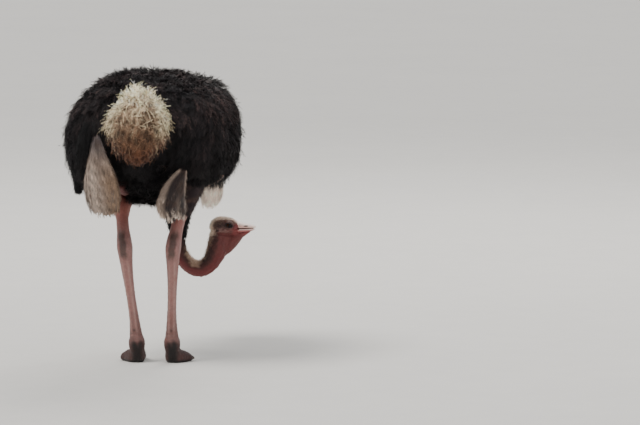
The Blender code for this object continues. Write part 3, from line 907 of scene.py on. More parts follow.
def headColours(points, colour):
    ahead, aside, height = headMeasures(points)
    flank = np.abs(aside)
    ragged = waves(points, 0.012, 54)
    onHead = ramp(ahead + (height - 0.53) * 0.2, -0.085, -0.070) * ramp(height, 0.500, 0.515)
    crown = ramp(height + ragged * 0.003, 0.556, 0.570) * ramp(ahead, 0.078, 0.062)
    blotch = ramp(ragged + waves(points, 0.024, 57) * 0.7, -0.1, 0.7)
    side = mixed(skinColours["cheek"] + 0 * points, skinColours["brown"], 0.75 * blotch)
    side = mixed(side, skinColours["throat"], ramp(height, 0.532, 0.515))
    behind = ramp(ahead, -0.010, -0.040) * ramp(height + ragged * 0.004, 0.528, 0.514)
    side = mixed(side, skinColours["neck dark"], 0.8 * behind)
    side = mixed(side, skinColours["lore"], ramp(ahead + ragged * 0.003, 0.028, 0.046))
    head = mixed(side, skinColours["crown"], np.maximum(crown, ramp(ahead + ragged * 0.004, -0.030, -0.048)))
    rim = ramp(flank + ragged * 0.003, 0.031, 0.020) * np.maximum(crown, ramp(ahead, -0.030, -0.055))
    head = mixed(head, skinColours["crown rim"], rim)
    patch = np.exp(-((ahead + 0.006) / 0.050) ** 4 - ((height - 0.558 + ragged * 0.004) / 0.019) ** 4)
    head = mixed(head, skinColours["eye patch"], (0.92 - 0.25 * blotch) * patch * ramp(flank, 0.022, 0.029))
    # painted shade: the ear opening is painted dark inside its hollow
    ear = np.exp(-(((ahead + 0.036) / 0.010) ** 2 + ((height - 0.533) / 0.008) ** 2) ** 2)
    head = mixed(head, skinColours["eye patch"], 0.8 * ear)
    gape = 0.5385 - (0.060 - ahead) * 0.16
    mouth = bell(height, gape, 0.0035) * ramp(ahead, 0.0, 0.02)
    head = mixed(head, skinColours["mouth"], 0.6 * mouth)
    for side, name in ((1, "eye_left"), (-1, "eye_right")):
        far, out, angle, almond = lidMeasures(points, name, side)
        head = mixed(head, skinColours["lid"], ramp(far, 0.030, 0.025) * ramp(almond, 1.75, 1.15))
    return mixed(colour, head, onHead)


def skinTint(points, normals):
    # the same markings that the coat above carries
    front = (points[:, 1] > 0.45) & (points[:, 2] < 0.86)
    colour = skinColours["under black"] + 0 * points
    legs = ramp(points[:, 2], 0.80, 0.74) * (points[:, 1] < 0.40)
    seen = seenAcross(points)
    inner = ramp(points[:, 2], 0.850, 0.815) * ramp(seen, -0.088, -0.100) * ramp(points[:, 1], 0.15, 0.10)
    inner = inner * (points[:, 0] < 0)
    colour = mixed(colour, legColours(points, normals), np.maximum(legs, inner))
    # painted shade: the red skin under the belly, at the top of the left thigh, darkened and made redder
    fold = inner * ramp(points[:, 1], -0.12, -0.20) * ramp(points[:, 2], 0.755, 0.785)
    colour = colour * (1 - np.array((0.30, 0.74, 0.76)) * fold[:, None])
    neck = headColours(points, neckColours(points))
    colour = np.where(front[:, None], neck, colour)
    low, high = (np.array(corner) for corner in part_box("tail"))
    tail = (points[:, 1] < -0.50) & (points[:, 2] > low[2]) & (np.abs(points[:, 0]) < high[0])
    colour = np.where(tail[:, None], skinColours["tail"], colour)
    for name in tipNodes:
        low, high = (np.array(corner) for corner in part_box(name))
        inside = np.all((points > low) & (points < high), axis=1)
        # the tips' cores hang behind the body
        reach = np.interp(points[:, 2], (0.68, 0.78, 0.87), (-0.300, -0.342, -0.395))
        inside &= points[:, 1] < (reach if name == "wing_tip_left" else 0 if name == "flank_plume" else -0.28)
        if name == "wing_tip_left":
            inside &= seen < -0.155
        colour = np.where(inside[:, None], skinColours["white"], colour)
    return colour


skin = makePiece("skin", (skinPoints, skinTriangles), materials["Ostrich skin"],
                 skinTint(skinPoints, skinNormals))
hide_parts("trunk", "wing_left", "wing_right", "neck_base", "neck_lower", "neck_bend_near",
            "neck_bend_far", "neck_upper", "throat", "head", "ear_left", "ear_right",
            *[f"{part}_{side}" for side in ("left", "right")
              for part in ("thigh", "hock", "shank", "foot", "toe_inner", "toe_outer")])
print("skin carved and coloured")


# The skin's own unwrap, on which every tuft keeps the place of its root

def makeChart():
    # a light copy of the skin with the bundles' outer forms, unwrapped by its own shape
    forms = [remeshed((skinPoints, skinTriangles), 0.014), (tailGuide.points, tailGuide.triangles)]
    forms += [softForm([name], 0.0, 0.008, 3) for name in tipNodes]
    points, triangles = joined(forms)
    mesh = bpy.data.meshes.new("chart")
    mesh.from_pydata(points.tolist(), [], triangles.tolist())
    thing = bpy.data.objects.new("chart", mesh)
    bpy.context.scene.collection.objects.link(thing)
    bpy.context.view_layer.objects.active = thing
    thing.select_set(True)
    bpy.ops.object.mode_set(mode="EDIT")
    bpy.ops.mesh.select_all(action="SELECT")
    bpy.ops.uv.smart_project(angle_limit=math.radians(66), island_margin=0.002)
    bpy.ops.object.mode_set(mode="OBJECT")
    spots = np.empty(len(mesh.loops) * 2, np.float32)
    mesh.uv_layers.active.data.foreach_get("uv", spots)
    spots = spots.reshape(-1, 3, 2)
    tree = BVHTree.FromPolygons(points.tolist(), triangles.tolist())
    bpy.data.objects.remove(thing)
    bpy.data.meshes.remove(mesh)
    return points, triangles, spots, tree


chartPoints, chartTriangles, chartSpots, chartTree = makeChart()
print("chart made,", len(chartTriangles), "triangles")


def chartUv(roots):
    found = [chartTree.find_nearest(root) for root in roots.tolist()]
    index = np.array([hit[2] for hit in found])
    place = np.array([tuple(hit[0]) for hit in found])
    a, b, c = (chartPoints[chartTriangles[index, corner]] for corner in range(3))
    whole = np.linalg.norm(np.cross(b - a, c - a), axis=1) + 1e-12
    first = np.linalg.norm(np.cross(b - place, c - place), axis=1) / whole
    second = np.linalg.norm(np.cross(c - place, a - place), axis=1) / whole
    third = np.clip(1 - first - second, 0, 1)
    spots = chartSpots[index]
    return spots[:, 0] * first[:, None] + spots[:, 1] * second[:, None] + spots[:, 2] * third[:, None]


# Plumes: a bent shaft with soft barbs on both sides, each barb a thin ribbon that ends in a point

patchSize = 0.003


def featherArrays(paths, ups, look, dice):
    # paths and ups are (plumes, steps, 3); returns points, triangles, normals, patches, shares and owners
    plumes, steps = paths.shape[:2]
    barbs = look["barbs"]
    bare = look.get("bare", 0.0)
    share = bare + (np.arange(barbs) + dice.random((plumes, barbs))) / barbs * (1 - bare)
    at = np.clip(share * (steps - 1), 0, steps - 1.001)
    whole = at.astype(int)
    part = (at - whole)[..., None]
    row = np.arange(plumes)[:, None]
    runs = unit(np.gradient(paths, axis=1))
    base = paths[row, whole] * (1 - part) + paths[row, whole + 1] * part
    run = unit(runs[row, whole] * (1 - part) + runs[row, whole + 1] * part)
    face = unit(ups[row, whole] * (1 - part) + ups[row, whole + 1] * part)
    side = np.cross(run, face) * np.where(np.arange(barbs) % 2, 1.0, -1.0)[None, :, None]
    spread = np.radians(look["spread"][0] + (look["spread"][1] - look["spread"][0]) * share)
    spread = spread + dice.normal(0, 0.16, share.shape)
    lift = dice.normal(look["lift"], look["ruffle"], share.shape)[..., None]
    aim = unit(run * np.cos(spread)[..., None] + side * np.sin(spread)[..., None] + face * lift)
    profile = np.sin(np.pi * np.clip(0.16 + share * 0.80, 0, 1)) ** 0.6
    vane = look["vane"] if np.ndim(look["vane"]) else np.full(plumes, look["vane"])
    length = (vane[:, None] * profile * dice.uniform(0.75, 1.2, share.shape))[..., None]
    wander = dice.normal(0, look["curl"], (*share.shape, 3))
    bend = unit(aim * 0.75 + run * 0.45 - up * look["droop"] + wander)
    middle = base + aim * length * 0.5
    tip = middle + bend * length * 0.62
    twist = dice.uniform(-1.0, 1.0, share.shape)[..., None]
    broad = unit(unit(np.cross(aim, face)) * np.cos(twist) + face * np.sin(twist))
    half = np.reshape(look["barb"], (-1, 1, 1)) / 2
    corners = np.stack([base - broad * half, base + broad * half, middle - broad * half * 0.85,
                        middle + broad * half * 0.85, tip], axis=2)
    flat = np.cross(aim, broad)
    facing = np.sign(np.sum(flat * face, axis=-1, keepdims=True))
    ribbon = flat * facing
    soft = look["soft"]
    normal = unit(face * soft + ribbon * (1 - soft) + dice.normal(0, 0.10, (*share.shape, 3)))
    normals = np.repeat(normal[:, :, None], 5, axis=2)
    normals[:, :, 2:4] = unit(normals[:, :, 2:4] + 0.25 * bend[:, :, None])
    normals[:, :, 4] = unit(normals[:, :, 4] + 0.35 * bend)
    first = np.arange(plumes * barbs)[:, None, None] * 5
    shape = np.array(((0, 1, 2), (1, 3, 2), (2, 3, 4)))
    turned = shape[:, ::-1]
    outward = (facing.reshape(-1) > 0)[:, None, None]
    triangles = np.where(outward, turned, shape) + first
    along = np.stack([share, share, share + 0.02, share + 0.02, share + 0.04], axis=2)
    across = np.stack([0 * share, 0 * share, 0 * share + 0.5, 0 * share + 0.5, 0 * share + 1], axis=2)
    sign = np.where(np.arange(barbs) % 2, 1.0, -1.0)[None, :, None]
    patches = np.stack([along, 0.5 + 0.5 * across * sign], axis=-1) * patchSize
    owner = np.repeat(np.arange(plumes), barbs * 5)
    return (corners.reshape(-1, 3), triangles.reshape(-1, 3), normals.reshape(-1, 3),
            patches.reshape(-1, 2), np.clip(along, 0, 1).reshape(-1), across.reshape(-1), owner)


def nearestOf(seeds, points):
    # for each point, the number of the seed nearest to it
    tree = KDTree(len(seeds))
    for index, seed in enumerate(seeds.tolist()):
        tree.insert(seed, index)
    tree.balance()
    return np.array([tree.find(point)[1] for point in points.tolist()])


def layPaths(guide, roots, flow, lengths, steps, heights, clump, dice):
    # each plume starts at its root and walks along the guide where flow leads; heights lifts it off the guide
    place, face = guide.nearest(roots)
    places, faces = [place], [face]
    drift = dice.normal(0, clump["wander"], (len(roots), 3))
    for _ in range(steps - 1):
        lead = flow(place, face) + drift
        lead = unit(lead - face * np.sum(lead * face, axis=1, keepdims=True))
        place, face = guide.nearest(place + lead * (lengths / (steps - 1))[:, None])
        places.append(place)
        faces.append(face)
    places, faces = np.stack(places, axis=1), np.stack(faces, axis=1)
    # plumes of one clump close towards the clump's own line
    count = max(int(len(roots) / clump["plumes"]), 1)
    seeds = dice.permutation(len(roots))[:count]
    own = seeds[nearestOf(roots[seeds], roots)]
    share = np.linspace(0, 1, steps)
    pull = (clump["pull"] * share ** 1.6)[None, :, None]
    offset = places[own] - places
    reach = np.minimum(1.0, 0.06 / np.maximum(np.linalg.norm(offset, axis=2, keepdims=True), 1e-6))
    places = places + offset * reach * pull
    high = heights(share, roots, dice)
    side = np.cross(faces, unit(np.gradient(places, axis=1)))
    curl = dice.normal(0, clump["curl"], len(roots))[:, None, None] * lengths[:, None, None]
    places = places + faces * high[..., None] + side * curl * (share ** 2)[None, :, None]
    return places, faces


def coatPiece(name, paths, ups, look, colourOf, material, dice, replaced=()):
    points, triangles, normals, patches, share, across, owner = featherArrays(paths, ups, look, dice)
    roots = paths[:, 0]
    patches = patches + chartUv(roots)[owner]
    luck = dice.random(len(roots))[owner]
    tints = colourOf(points, roots[owner], share, across, luck)
    piece = makePiece(name, (points, triangles), materials[material], np.clip(tints, 0.002, 0.95),
                      patches, normals)
    if replaced:
        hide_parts(*replaced)
    print(name, len(triangles), "triangles")
    return piece


# The black coat

blackLook = {"plumes": 10450, "pieces": 6, "long": 0.105, "flankLong": 0.065, "vane": 0.036,
             "barbs": 28, "barb": 0.0015, "spread": (58, 16), "lift": 0.08, "ruffle": 0.28,
             "droop": 0.30, "curl": 0.42, "soft": 0.55,
             "clump": {"plumes": 9, "pull": 0.72, "wander": 0.32, "curl": 0.14}}
blackColours = {"deep": linear(11, 10, 12), "tip": linear(27, 23, 25), "brown": linear(92, 72, 68)}
chest = np.array((0.0, 0.50, 0.86))


def bodyFlow(points, faces):
    # away from the neck and back, falling more on the flanks and the rump
    fall = 0.35 + 0.9 * ramp(np.abs(points[:, 0]), 0.12, 0.30) + 0.7 * ramp(points[:, 1], -0.10, -0.45)
    lead = unit(points - chest) * 0.75 + np.array((0, -0.35, 0)) - up * fall[:, None]
    parting = ramp(faces[:, 2], 0.2, 0.9) * ramp(points[:, 1], 0.15, -0.10)
    lead = lead + np.sign(points[:, :1]) * np.array((0.30, 0, 0)) * parting[:, None]
    swirl = np.stack([waves(points, 0.16, 61), waves(points, 0.16, 62), waves(points, 0.16, 63)], axis=1)
    return lead + swirl * (0.70 - 0.42 * ramp(np.abs(points[:, :1]), 0.20, 0.32))


def bodyHeights(share, roots, dice):
    neck = neckMeasures(roots)[0]
    sink = np.interp(neck, (0, 0.10, 0.30, 0.36, 0.42), (0.046, 0.042, 0.028, 0.010, 0.001))
    crest = 0.006 * ramp(roots[:, 2], 1.24, 1.30)
    flare = crest + dice.normal(0.0, 0.006, len(roots)) + 0.010 * (dice.random(len(roots)) > 0.8)
    return -sink[:, None] * (1 - share[None]) ** 1.4 + flare[:, None] * share[None] ** 2 - 0.003


def blackTint(points, roots, share, across, luck):
    ends = ramp(share + across * 0.3, 0.5, 1.2)
    colour = mixed(blackColours["deep"] + 0 * points, blackColours["tip"], ends)
    # painted highlight: a brown sheen on the plume ends over the back and the right shoulder
    height = roots[:, 2]
    painted_brown_sheen = ramp(height, 1.02, 1.24) * 0.5 + 0.35 * ramp(roots[:, 0], 0.10, 0.28) * ramp(height, 0.95, 1.15)
    painted_brown_sheen = painted_brown_sheen * (0.25 + 0.75 * luck ** 2) * ramp(waves(roots, 0.10, 64), -0.5, 0.7)
    painted_brown_sheen = painted_brown_sheen * ramp(across + share, 0.4, 1.5)
    colour = mixed(colour, blackColours["brown"], np.clip(painted_brown_sheen, 0, 1))
    # painted light: every plume is brighter towards the top of the back
    return colour * ((0.7 + 0.6 * luck) * (1 + 0.45 * ramp(height, 0.98, 1.24)))[:, None]


def makeBlackCoat(look):
    dice = np.random.default_rng(7)

    def weight(places, faces):
        share = neckMeasures(places)[0]
        dense = np.interp(share, (0, 0.1, 0.3, 0.40, 0.44, 0.47), (1, 1.2, 2.2, 3.6, 2.0, 0))
        return dense * (1 - bareThigh(places))

    roots = coatGuide.scatter(look["plumes"], dice, weight)
    share = neckMeasures(roots)[0]
    flank = ramp(np.abs(roots[:, 0]), 0.16, 0.30)
    length = look["long"] + look["flankLong"] * flank
    length = length * np.interp(share, (0, 0.15, 0.30, 0.47), (1, 0.8, 0.5, 0.26))
    length = length * dice.uniform(0.8, 1.2, len(roots))
    paths, ups = layPaths(coatGuide, roots, bodyFlow, length, 6, bodyHeights, look["clump"], dice)
    kept = np.maximum(bareThigh(paths[:, 3]), bareThigh(paths[:, 4])) < dice.uniform(0.3, 0.9, len(roots))
    roots, share, paths, ups = roots[kept], share[kept], paths[kept], ups[kept]
    vane = look["vane"] * np.interp(share, (0, 0.15, 0.30, 0.47), (1, 0.75, 0.5, 0.3))
    vane = vane * dice.uniform(0.8, 1.2, len(roots))
    order = np.argsort(roots[:, 1], kind="stable")
    for number, block in enumerate(np.array_split(order, look["pieces"])):
        feather = dict(look, vane=vane[block])
        coatPiece(f"black_coat_{number + 1}", paths[block], ups[block], feather, blackTint,
                  "Black plumage", dice)


makeBlackCoat(blackLook)


# The tail: a mop of curled plumes, white at the tips, stained brown below

tailLook = {"barbs": 27, "barb": 0.0014, "spread": (46, 14), "lift": 0.10, "ruffle": 0.34,
            "droop": 0.24, "curl": 0.50, "soft": 0.45}
tailPlumes = {"plumes": 1200, "long": (0.060, 0.115), "vane": 0.016,
              "clump": {"plumes": 6, "pull": 0.85, "wander": 0.35, "curl": 0.18}}
tailCurls = {"plumes": 420, "long": (0.045, 0.080), "vane": 0.011,
             "clump": {"plumes": 4, "pull": 0.7, "wander": 1.1, "curl": 0.42}}
tailLocks = {"plumes": 300, "long": (0.045, 0.085), "vane": 0.0105,
             "clump": {"plumes": 2, "pull": 0.3, "wander": 0.75, "curl": 0.30},
             "barbs": 50, "barb": 0.0013, "spread": (27, 9), "lift": 0.06, "ruffle": 0.30,
             "droop": 0.20, "curl": 0.46, "soft": 0.50}
tailColours = {"white": linear(255, 238, 200), "grey": linear(166, 138, 112), "tan": linear(134, 100, 76),
               "brown": linear(108, 68, 46)}


def makeTail():
    dice = np.random.default_rng(17)
    low, high = (np.array(corner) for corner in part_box("tail"))
    middle = (low + high) / 2
    crown = np.array((middle[0], low[1] + 0.13, high[2] - 0.11))

    def riseOf(points):
        return (points[:, 2] - low[2]) / (high[2] - low[2])

    def rimOf(points):
        half = np.interp(riseOf(points), tailShape["rise"], tailShape["half"])
        edge = np.maximum(np.abs(points[:, 0] - middle[0]) / half, (points[:, 2] - middle[2]) / 0.165)
        return ramp(edge, 0.55, 0.95)

    def flow(points, faces):
        away = unit(points - crown)
        swirl = np.stack([waves(points, 0.07, 71), waves(points, 0.07, 72), waves(points, 0.07, 73)], axis=1)
        return away - up * 0.45 * ramp(points[:, 2], high[2], middle[2])[:, None] + swirl * 0.6

    def heights(share, roots, dice):
        stand = rimOf(roots) * ramp(roots[:, 2], low[2], middle[2])
        spikes = np.clip(0.45 + 1.3 * waves(roots, 0.016, 75), 0, 1) * dice.uniform(0.6, 1.0, len(roots))
        swell = 0.042 * spikes + 0.010 * waves(roots, 0.07, 76)
        flare = dice.normal(0.002, 0.004, len(roots)) + swell * stand
        return -0.026 * (1 - share[None]) ** 1.2 + flare[:, None] * share[None] ** 2

    def curlHeights(share, roots, dice):
        arch = dice.uniform(0.004, 0.016, len(roots))[:, None]
        return -0.022 + (0.022 + arch) * np.sin(np.pi * 0.62 * share[None]) ** 0.8 - 0.004 * share[None] ** 2

    def colourOf(points, roots, share, across, luck):
        rise = riseOf(points)
        rim = rimOf(points)
        pale = np.clip(ramp(rise, 0.55, 0.88) * 0.75 + rim * ramp(rise, 0.30, 0.50) * 0.8, 0, 1)
        colour = mixed(tailColours["tan"] + 0 * points, tailColours["grey"], ramp(rise, 0.34, 0.62))
        colour = mixed(colour, tailColours["brown"], ramp(rise, 0.38, 0.12))
        tips = ramp(share + 0.5 * across, 0.35, 1.2)
        locks = (luck > 0.86) * ramp(rise, 0.25, 0.5)
        white = pale * (0.30 + 0.75 * tips) + 0.5 * locks * tips
        colour = mixed(colour, tailColours["white"], np.clip(white, 0, 1))
        # pale locks spread from the crown, with painted shade in the dark gaps between them and at the
        # plumes' roots
        offset = points - crown
        turn, far = np.arctan2(offset[:, 0], offset[:, 2]), np.hypot(offset[:, 0], offset[:, 2])
        streak = waves(np.stack([turn * 0.11, 0.4 * offset[:, 1], far * 0.25], axis=1), 0.014, 78)
        painted_gap_shade = mixed(waves(points * (1, 1, 0.6), 0.027, 74)[:, None], streak[:, None], rim)[:, 0]
        shade = 0.50 + 0.58 * luck + 0.26 * tips + (0.70 * painted_gap_shade - 0.14) * ramp(rise, 0.05, 0.45)
        # painted light: the upper part of the mop is brighter, as if lit from above
        shade = shade + 0.26 * ramp(rise, 0.55, 0.85)
        return np.minimum(colour * np.clip(shade, 0.10, 1.8)[:, None], 0.96)

    def lockColour(points, roots, share, across, luck):
        rise = riseOf(points)
        ends = ramp(share + 0.3 * luck, 0.0, 0.5)
        colour = mixed(tailColours["grey"] + 0 * points, tailColours["white"], ends)
        dull = ramp(rise, 0.80, 0.42) * (1 - 0.8 * rimOf(points))
        colour = mixed(colour, (tailColours["grey"] + tailColours["tan"]) / 2, 0.80 * dull)
        colour = mixed(colour, tailColours["tan"], 0.75 * ramp(rise, 0.50, 0.28))
        return np.minimum(colour * (0.84 + 0.40 * luck)[:, None], 0.96)

    def lockHeights(share, roots, dice):
        arch = dice.uniform(0.004, 0.014, len(roots)) + 0.022 * rimOf(roots) * dice.random(len(roots))
        return -0.014 * (1 - share[None]) + arch[:, None] * share[None] ** 1.3

    def lockWeight(places, faces):
        rise = riseOf(places)
        dense = 0.16 + ramp(rise, 0.35, 0.7) + rimOf(places)
        return ramp(places[:, 1], -0.40, -0.48) * dense * ramp(rise, 0.2, 0.4)

    def weight(places, faces):
        return ramp(places[:, 1], -0.36, -0.44) + 0.02

    def frontWeight(places, faces):
        behind = ramp(places[:, 1], low[1] + 0.16, low[1] + 0.05)
        return behind * ramp(places[:, 2], low[2] + 0.04, low[2] + 0.12)

    def lay(look, weigh, lift, steps):
        # one layer of plumes over the mop: their paths, facings and vanes
        roots = tailGuide.scatter(look["plumes"], dice, weigh)
        long = dice.uniform(*look["long"], len(roots))
        paths, ups = layPaths(tailGuide, roots, flow, long, steps, lift, look["clump"], dice)
        return paths, ups, np.full(len(roots), look["vane"])

    layers = [lay(tailPlumes, weight, heights, 6), lay(tailCurls, frontWeight, curlHeights, 6)]
    paths, ups, vane = (np.concatenate(parts) for parts in zip(*layers))
    coatPiece("tail_mop", paths, ups, dict(tailLook, vane=vane), colourOf,
              "Tail plumage", dice, ("tail",))
    # long pale locks lie over the mop and stand out round it
    paths, ups, vane = lay(tailLocks, lockWeight, lockHeights, 7)
    coatPiece("tail_locks", paths, ups, dict(tailLocks, vane=vane), lockColour,
              "Tail plumage", dice)


makeTail()


# Long plumes hang in bundles: each follows the bundle's middle line at its own place across it

bundleLook = {"barbs": 60, "vane": 0.030, "barb": 0.0013, "spread": (24, 11), "lift": 0.02, "ruffle": 0.10,
              "droop": 0.16, "curl": 0.20, "soft": 0.60, "bare": 0.04, "reach": 0.945}
bundleColours = {"white": linear(178, 157, 143), "grey": linear(112, 102, 102), "warm": linear(160, 132, 108),
                 "dark": linear(52, 40, 40), "rim": linear(176, 156, 142), "bright": linear(238, 218, 202),
                 "black": linear(14, 13, 15), "brown": linear(50, 38, 40)}
bundles = {
    "wing_plumes_left": {
        "line": ((-0.180, -0.500, 1.062), (-0.178, -0.478, 0.965), (-0.172, -0.432, 0.870),
                 (-0.170, -0.378, 0.780), (-0.166, -0.335, 0.688)),
        "half": (0.010, 0.046, 0.086, 0.103, 0.082), "depth": (0.014, 0.028, 0.038, 0.036, 0.022),
        "turn": -28, "plumes": 620, "shades": "left", "replaces": "wing_tip_left"},
    "wing_plumes_right": {
        "line": ((0.205, -0.485, 0.915), (0.168, -0.458, 0.855), (0.146, -0.422, 0.795),
                 (0.137, -0.380, 0.737), (0.139, -0.340, 0.678)),
        "half": (0.012, 0.042, 0.060, 0.073, 0.064), "depth": (0.014, 0.028, 0.034, 0.032, 0.020),
        "turn": 28, "plumes": 420, "shades": "right", "replaces": "wing_tip_right", "ends": 0.06},
    "flank_plumes": {
        "line": ((0.300, -0.240, 0.900), (0.300, -0.235, 0.845), (0.294, -0.225, 0.785),
                 (0.286, -0.215, 0.722)),
        "half": (0.040, 0.058, 0.058, 0.040), "depth": (0.024, 0.028, 0.026, 0.015),
        "turn": 40, "plumes": 230, "shades": "flank", "replaces": "flank_plume", "barbs": 44, "curl": 0.38,
        "ends": 0.14, "reach": 0.90},
    "thigh_plumes_right": {
        "line": ((0.235, -0.330, 0.900), (0.224, -0.315, 0.815), (0.204, -0.290, 0.745),
                 (0.190, -0.268, 0.690)),
        "half": (0.045, 0.048, 0.032, 0.014), "depth": (0.026, 0.028, 0.024, 0.014),
        "turn": 25, "plumes": 240, "shades": "brown", "barbs": 40, "curl": 0.45, "ends": 0.09,
        "reach": 0.90},
    "wing_cover_left": {
        "line": ((-0.220, -0.470, 1.120), (-0.240, -0.478, 1.020), (-0.262, -0.450, 0.930)),
        "half": (0.030, 0.034, 0.022), "depth": (0.018, 0.020, 0.012),
        "turn": -35, "plumes": 170, "shades": "black", "barbs": 34, "curl": 0.4},
    "wing_fringe_left": {
        "line": ((-0.300, -0.230, 0.910), (-0.303, -0.235, 0.845), (-0.302, -0.235, 0.782)),
        "half": (0.034, 0.026, 0.012), "depth": (0.022, 0.020, 0.012),
        "turn": -30, "plumes": 130, "shades": "black", "barbs": 34, "curl": 0.4},
}


def spline(values, at):
    # smooth curve through evenly numbered values
    values = np.asarray(values, float)
    last = len(values) - 1
    at = np.clip(at * last, 0, last - 1e-6)
    whole = at.astype(int)
    part = (at - whole)[..., None] if values.ndim > 1 else at - whole
    before, after = np.maximum(whole - 1, 0), np.minimum(whole + 2, last)
    a, b, c, d = values[before], values[whole], values[whole + 1], values[after]
    return 0.5 * (2 * b + (c - a) * part + (2 * a - 5 * b + 4 * c - d) * part ** 2
                  + (3 * b - a - 3 * c + d) * part ** 3)


def bundleShade(kind, points, share, place, rise, luck):
    # place runs from -1 to 1 across the bundle, rise from 0 at its tips to 1 at its roots
    plain = 0 * points
    streak = waves(points * (1, 1, 0.12), 0.013, 77)
    if kind == "left":
        colour = mixed(bundleColours["white"] + plain, bundleColours["grey"], ramp(rise, 0.62, 0.92))
        pale = bell(place, -0.35, 0.45) * ramp(rise, 0.75, 0.45)
        colour = mixed(colour, bundleColours["bright"], 0.70 * pale)
        colour = mixed(colour, bundleColours["warm"], 0.9 * ramp(place, 0.10, 0.75) * ramp(rise, 0.75, 0.4))
        return colour * (0.62 + 0.44 * luck + 0.38 * streak)[:, None]
    if kind == "right":
        # painted shade: this bundle hangs in shade, so its middle is painted dark between paler edges
        edge = np.maximum(ramp(place, -0.50, -0.85), 0.7 * ramp(place, 0.66, 0.95))
        middle = bell(place, 0.26, 0.16) * ramp(rise, 0.60, 0.25) * 0.40
        colour = mixed(bundleColours["dark"] + plain, bundleColours["rim"], np.clip(edge + middle, 0, 1))
        ends = ramp(share, 0.55, 0.90) * ramp(rise, 0.52, 0.16) * (luck > 0.50)
        line = (luck > 0.93) * ramp(place, 0.0, 0.4) * ramp(rise, 0.9, 0.6)
        colour = mixed(colour, bundleColours["bright"], np.clip(ends * 0.95 + line * 0.7, 0, 1))
        return colour * (0.56 + 0.58 * luck + 0.16 * streak)[:, None]
    if kind == "flank":
        colour = mixed(bundleColours["black"] + plain, bundleColours["bright"],
                       ramp(rise + 0.25 * (luck - 0.5), 0.58, 0.42))
        return colour * (0.88 + 0.46 * luck + 0.30 * streak)[:, None]
    return bundleColours[kind] * (0.7 + 0.6 * luck + 0.25 * streak)[:, None]


def makeBundle(name, look, seed):
    dice = np.random.default_rng(seed)
    line = np.array(look["line"], float)
    turn = math.radians(look["turn"])
    along = np.array((math.cos(turn), math.sin(turn), 0))
    outward = unit(np.cross(unit(line[-1] - line[0]), along))
    outward = outward * np.sign(outward @ np.array((0, -1, 0)))
    count, steps = look["plumes"], 9
    angle = dice.uniform(0, 2 * math.pi, count)
    reach = np.sqrt(dice.uniform(0.25, 1, count))
    across, deep = np.cos(angle) * reach * 0.90, np.sin(angle) * reach * 0.86
    start = dice.uniform(0.0, 0.66, count) ** 1.1
    ends = look.get("reach", bundleLook["reach"]) + dice.normal(0, look.get("ends", 0.026), count)
    end = np.minimum(start + dice.uniform(0.34, 0.55, count), ends)
    share = start[:, None] + (end - start)[:, None] * np.linspace(0, 1, steps)[None]
    within = np.clip(share, 0, 1)
    run = unit(line[-1] - line[-2])
    length = np.linalg.norm(np.diff(line, axis=0), axis=1).sum()
    middle = spline(line, within) + run * (np.maximum(share - 1, 0) * length)[..., None]
    sway = 0.006 * np.sin(share * 7 + dice.uniform(0, 6.283, (count, 1)))
    # plumes gather into a few locks, with grooves between
    locks = np.round(across * 5) / 5
    across = across + (locks - across) * 0.45
    shift = across[:, None] * spline(look["half"], within) + sway
    thick = deep[:, None] * spline(look["depth"], within)
    paths = middle + along * shift[..., None] + outward * thick[..., None]
    bulge = np.where(deep > 0, 1, -1) * (1 - 0.4 * np.abs(across))
    ups = along * across[:, None] * 0.7 + outward * bulge[:, None]
    ups = np.repeat(unit(ups)[:, None], steps, axis=1)

    def colourOf(points, roots, share, over, luck):
        rise = (points[:, 2] - line[-1][2]) / (line[0][2] - line[-1][2])
        at = np.clip(1 - rise, 0, 1)
        place = (points - spline(line, at)) @ along / spline(look["half"], at)
        return bundleShade(look["shades"], points, share, place, rise, luck)

    feather = dict(bundleLook, barbs=look.get("barbs", 60), curl=look.get("curl", bundleLook["curl"]))
    dark = look["shades"] == "black"
    coatPiece(name, paths, ups, feather, colourOf, "Black plumage" if dark else "White plumage", dice,
              (look["replaces"],) if "replaces" in look else ())


for number, (name, look) in enumerate(bundles.items()):
    makeBundle(name, look, 23 + number)


# Down and bristles on the neck and head, short and upright

skinGuide = Guide((skinPoints, skinTriangles))
downLook = {"barbs": 5, "barb": 0.0007, "spread": (26, 8), "lift": 0.3, "ruffle": 0.3, "droop": 0.0,
            "curl": 0.3, "soft": 0.75, "tufts": 11480}
downColours = {"cream": linear(232, 198, 168), "pale": linear(255, 230, 204), "grey": linear(104, 76, 67),
               "dark": linear(46, 29, 27)}


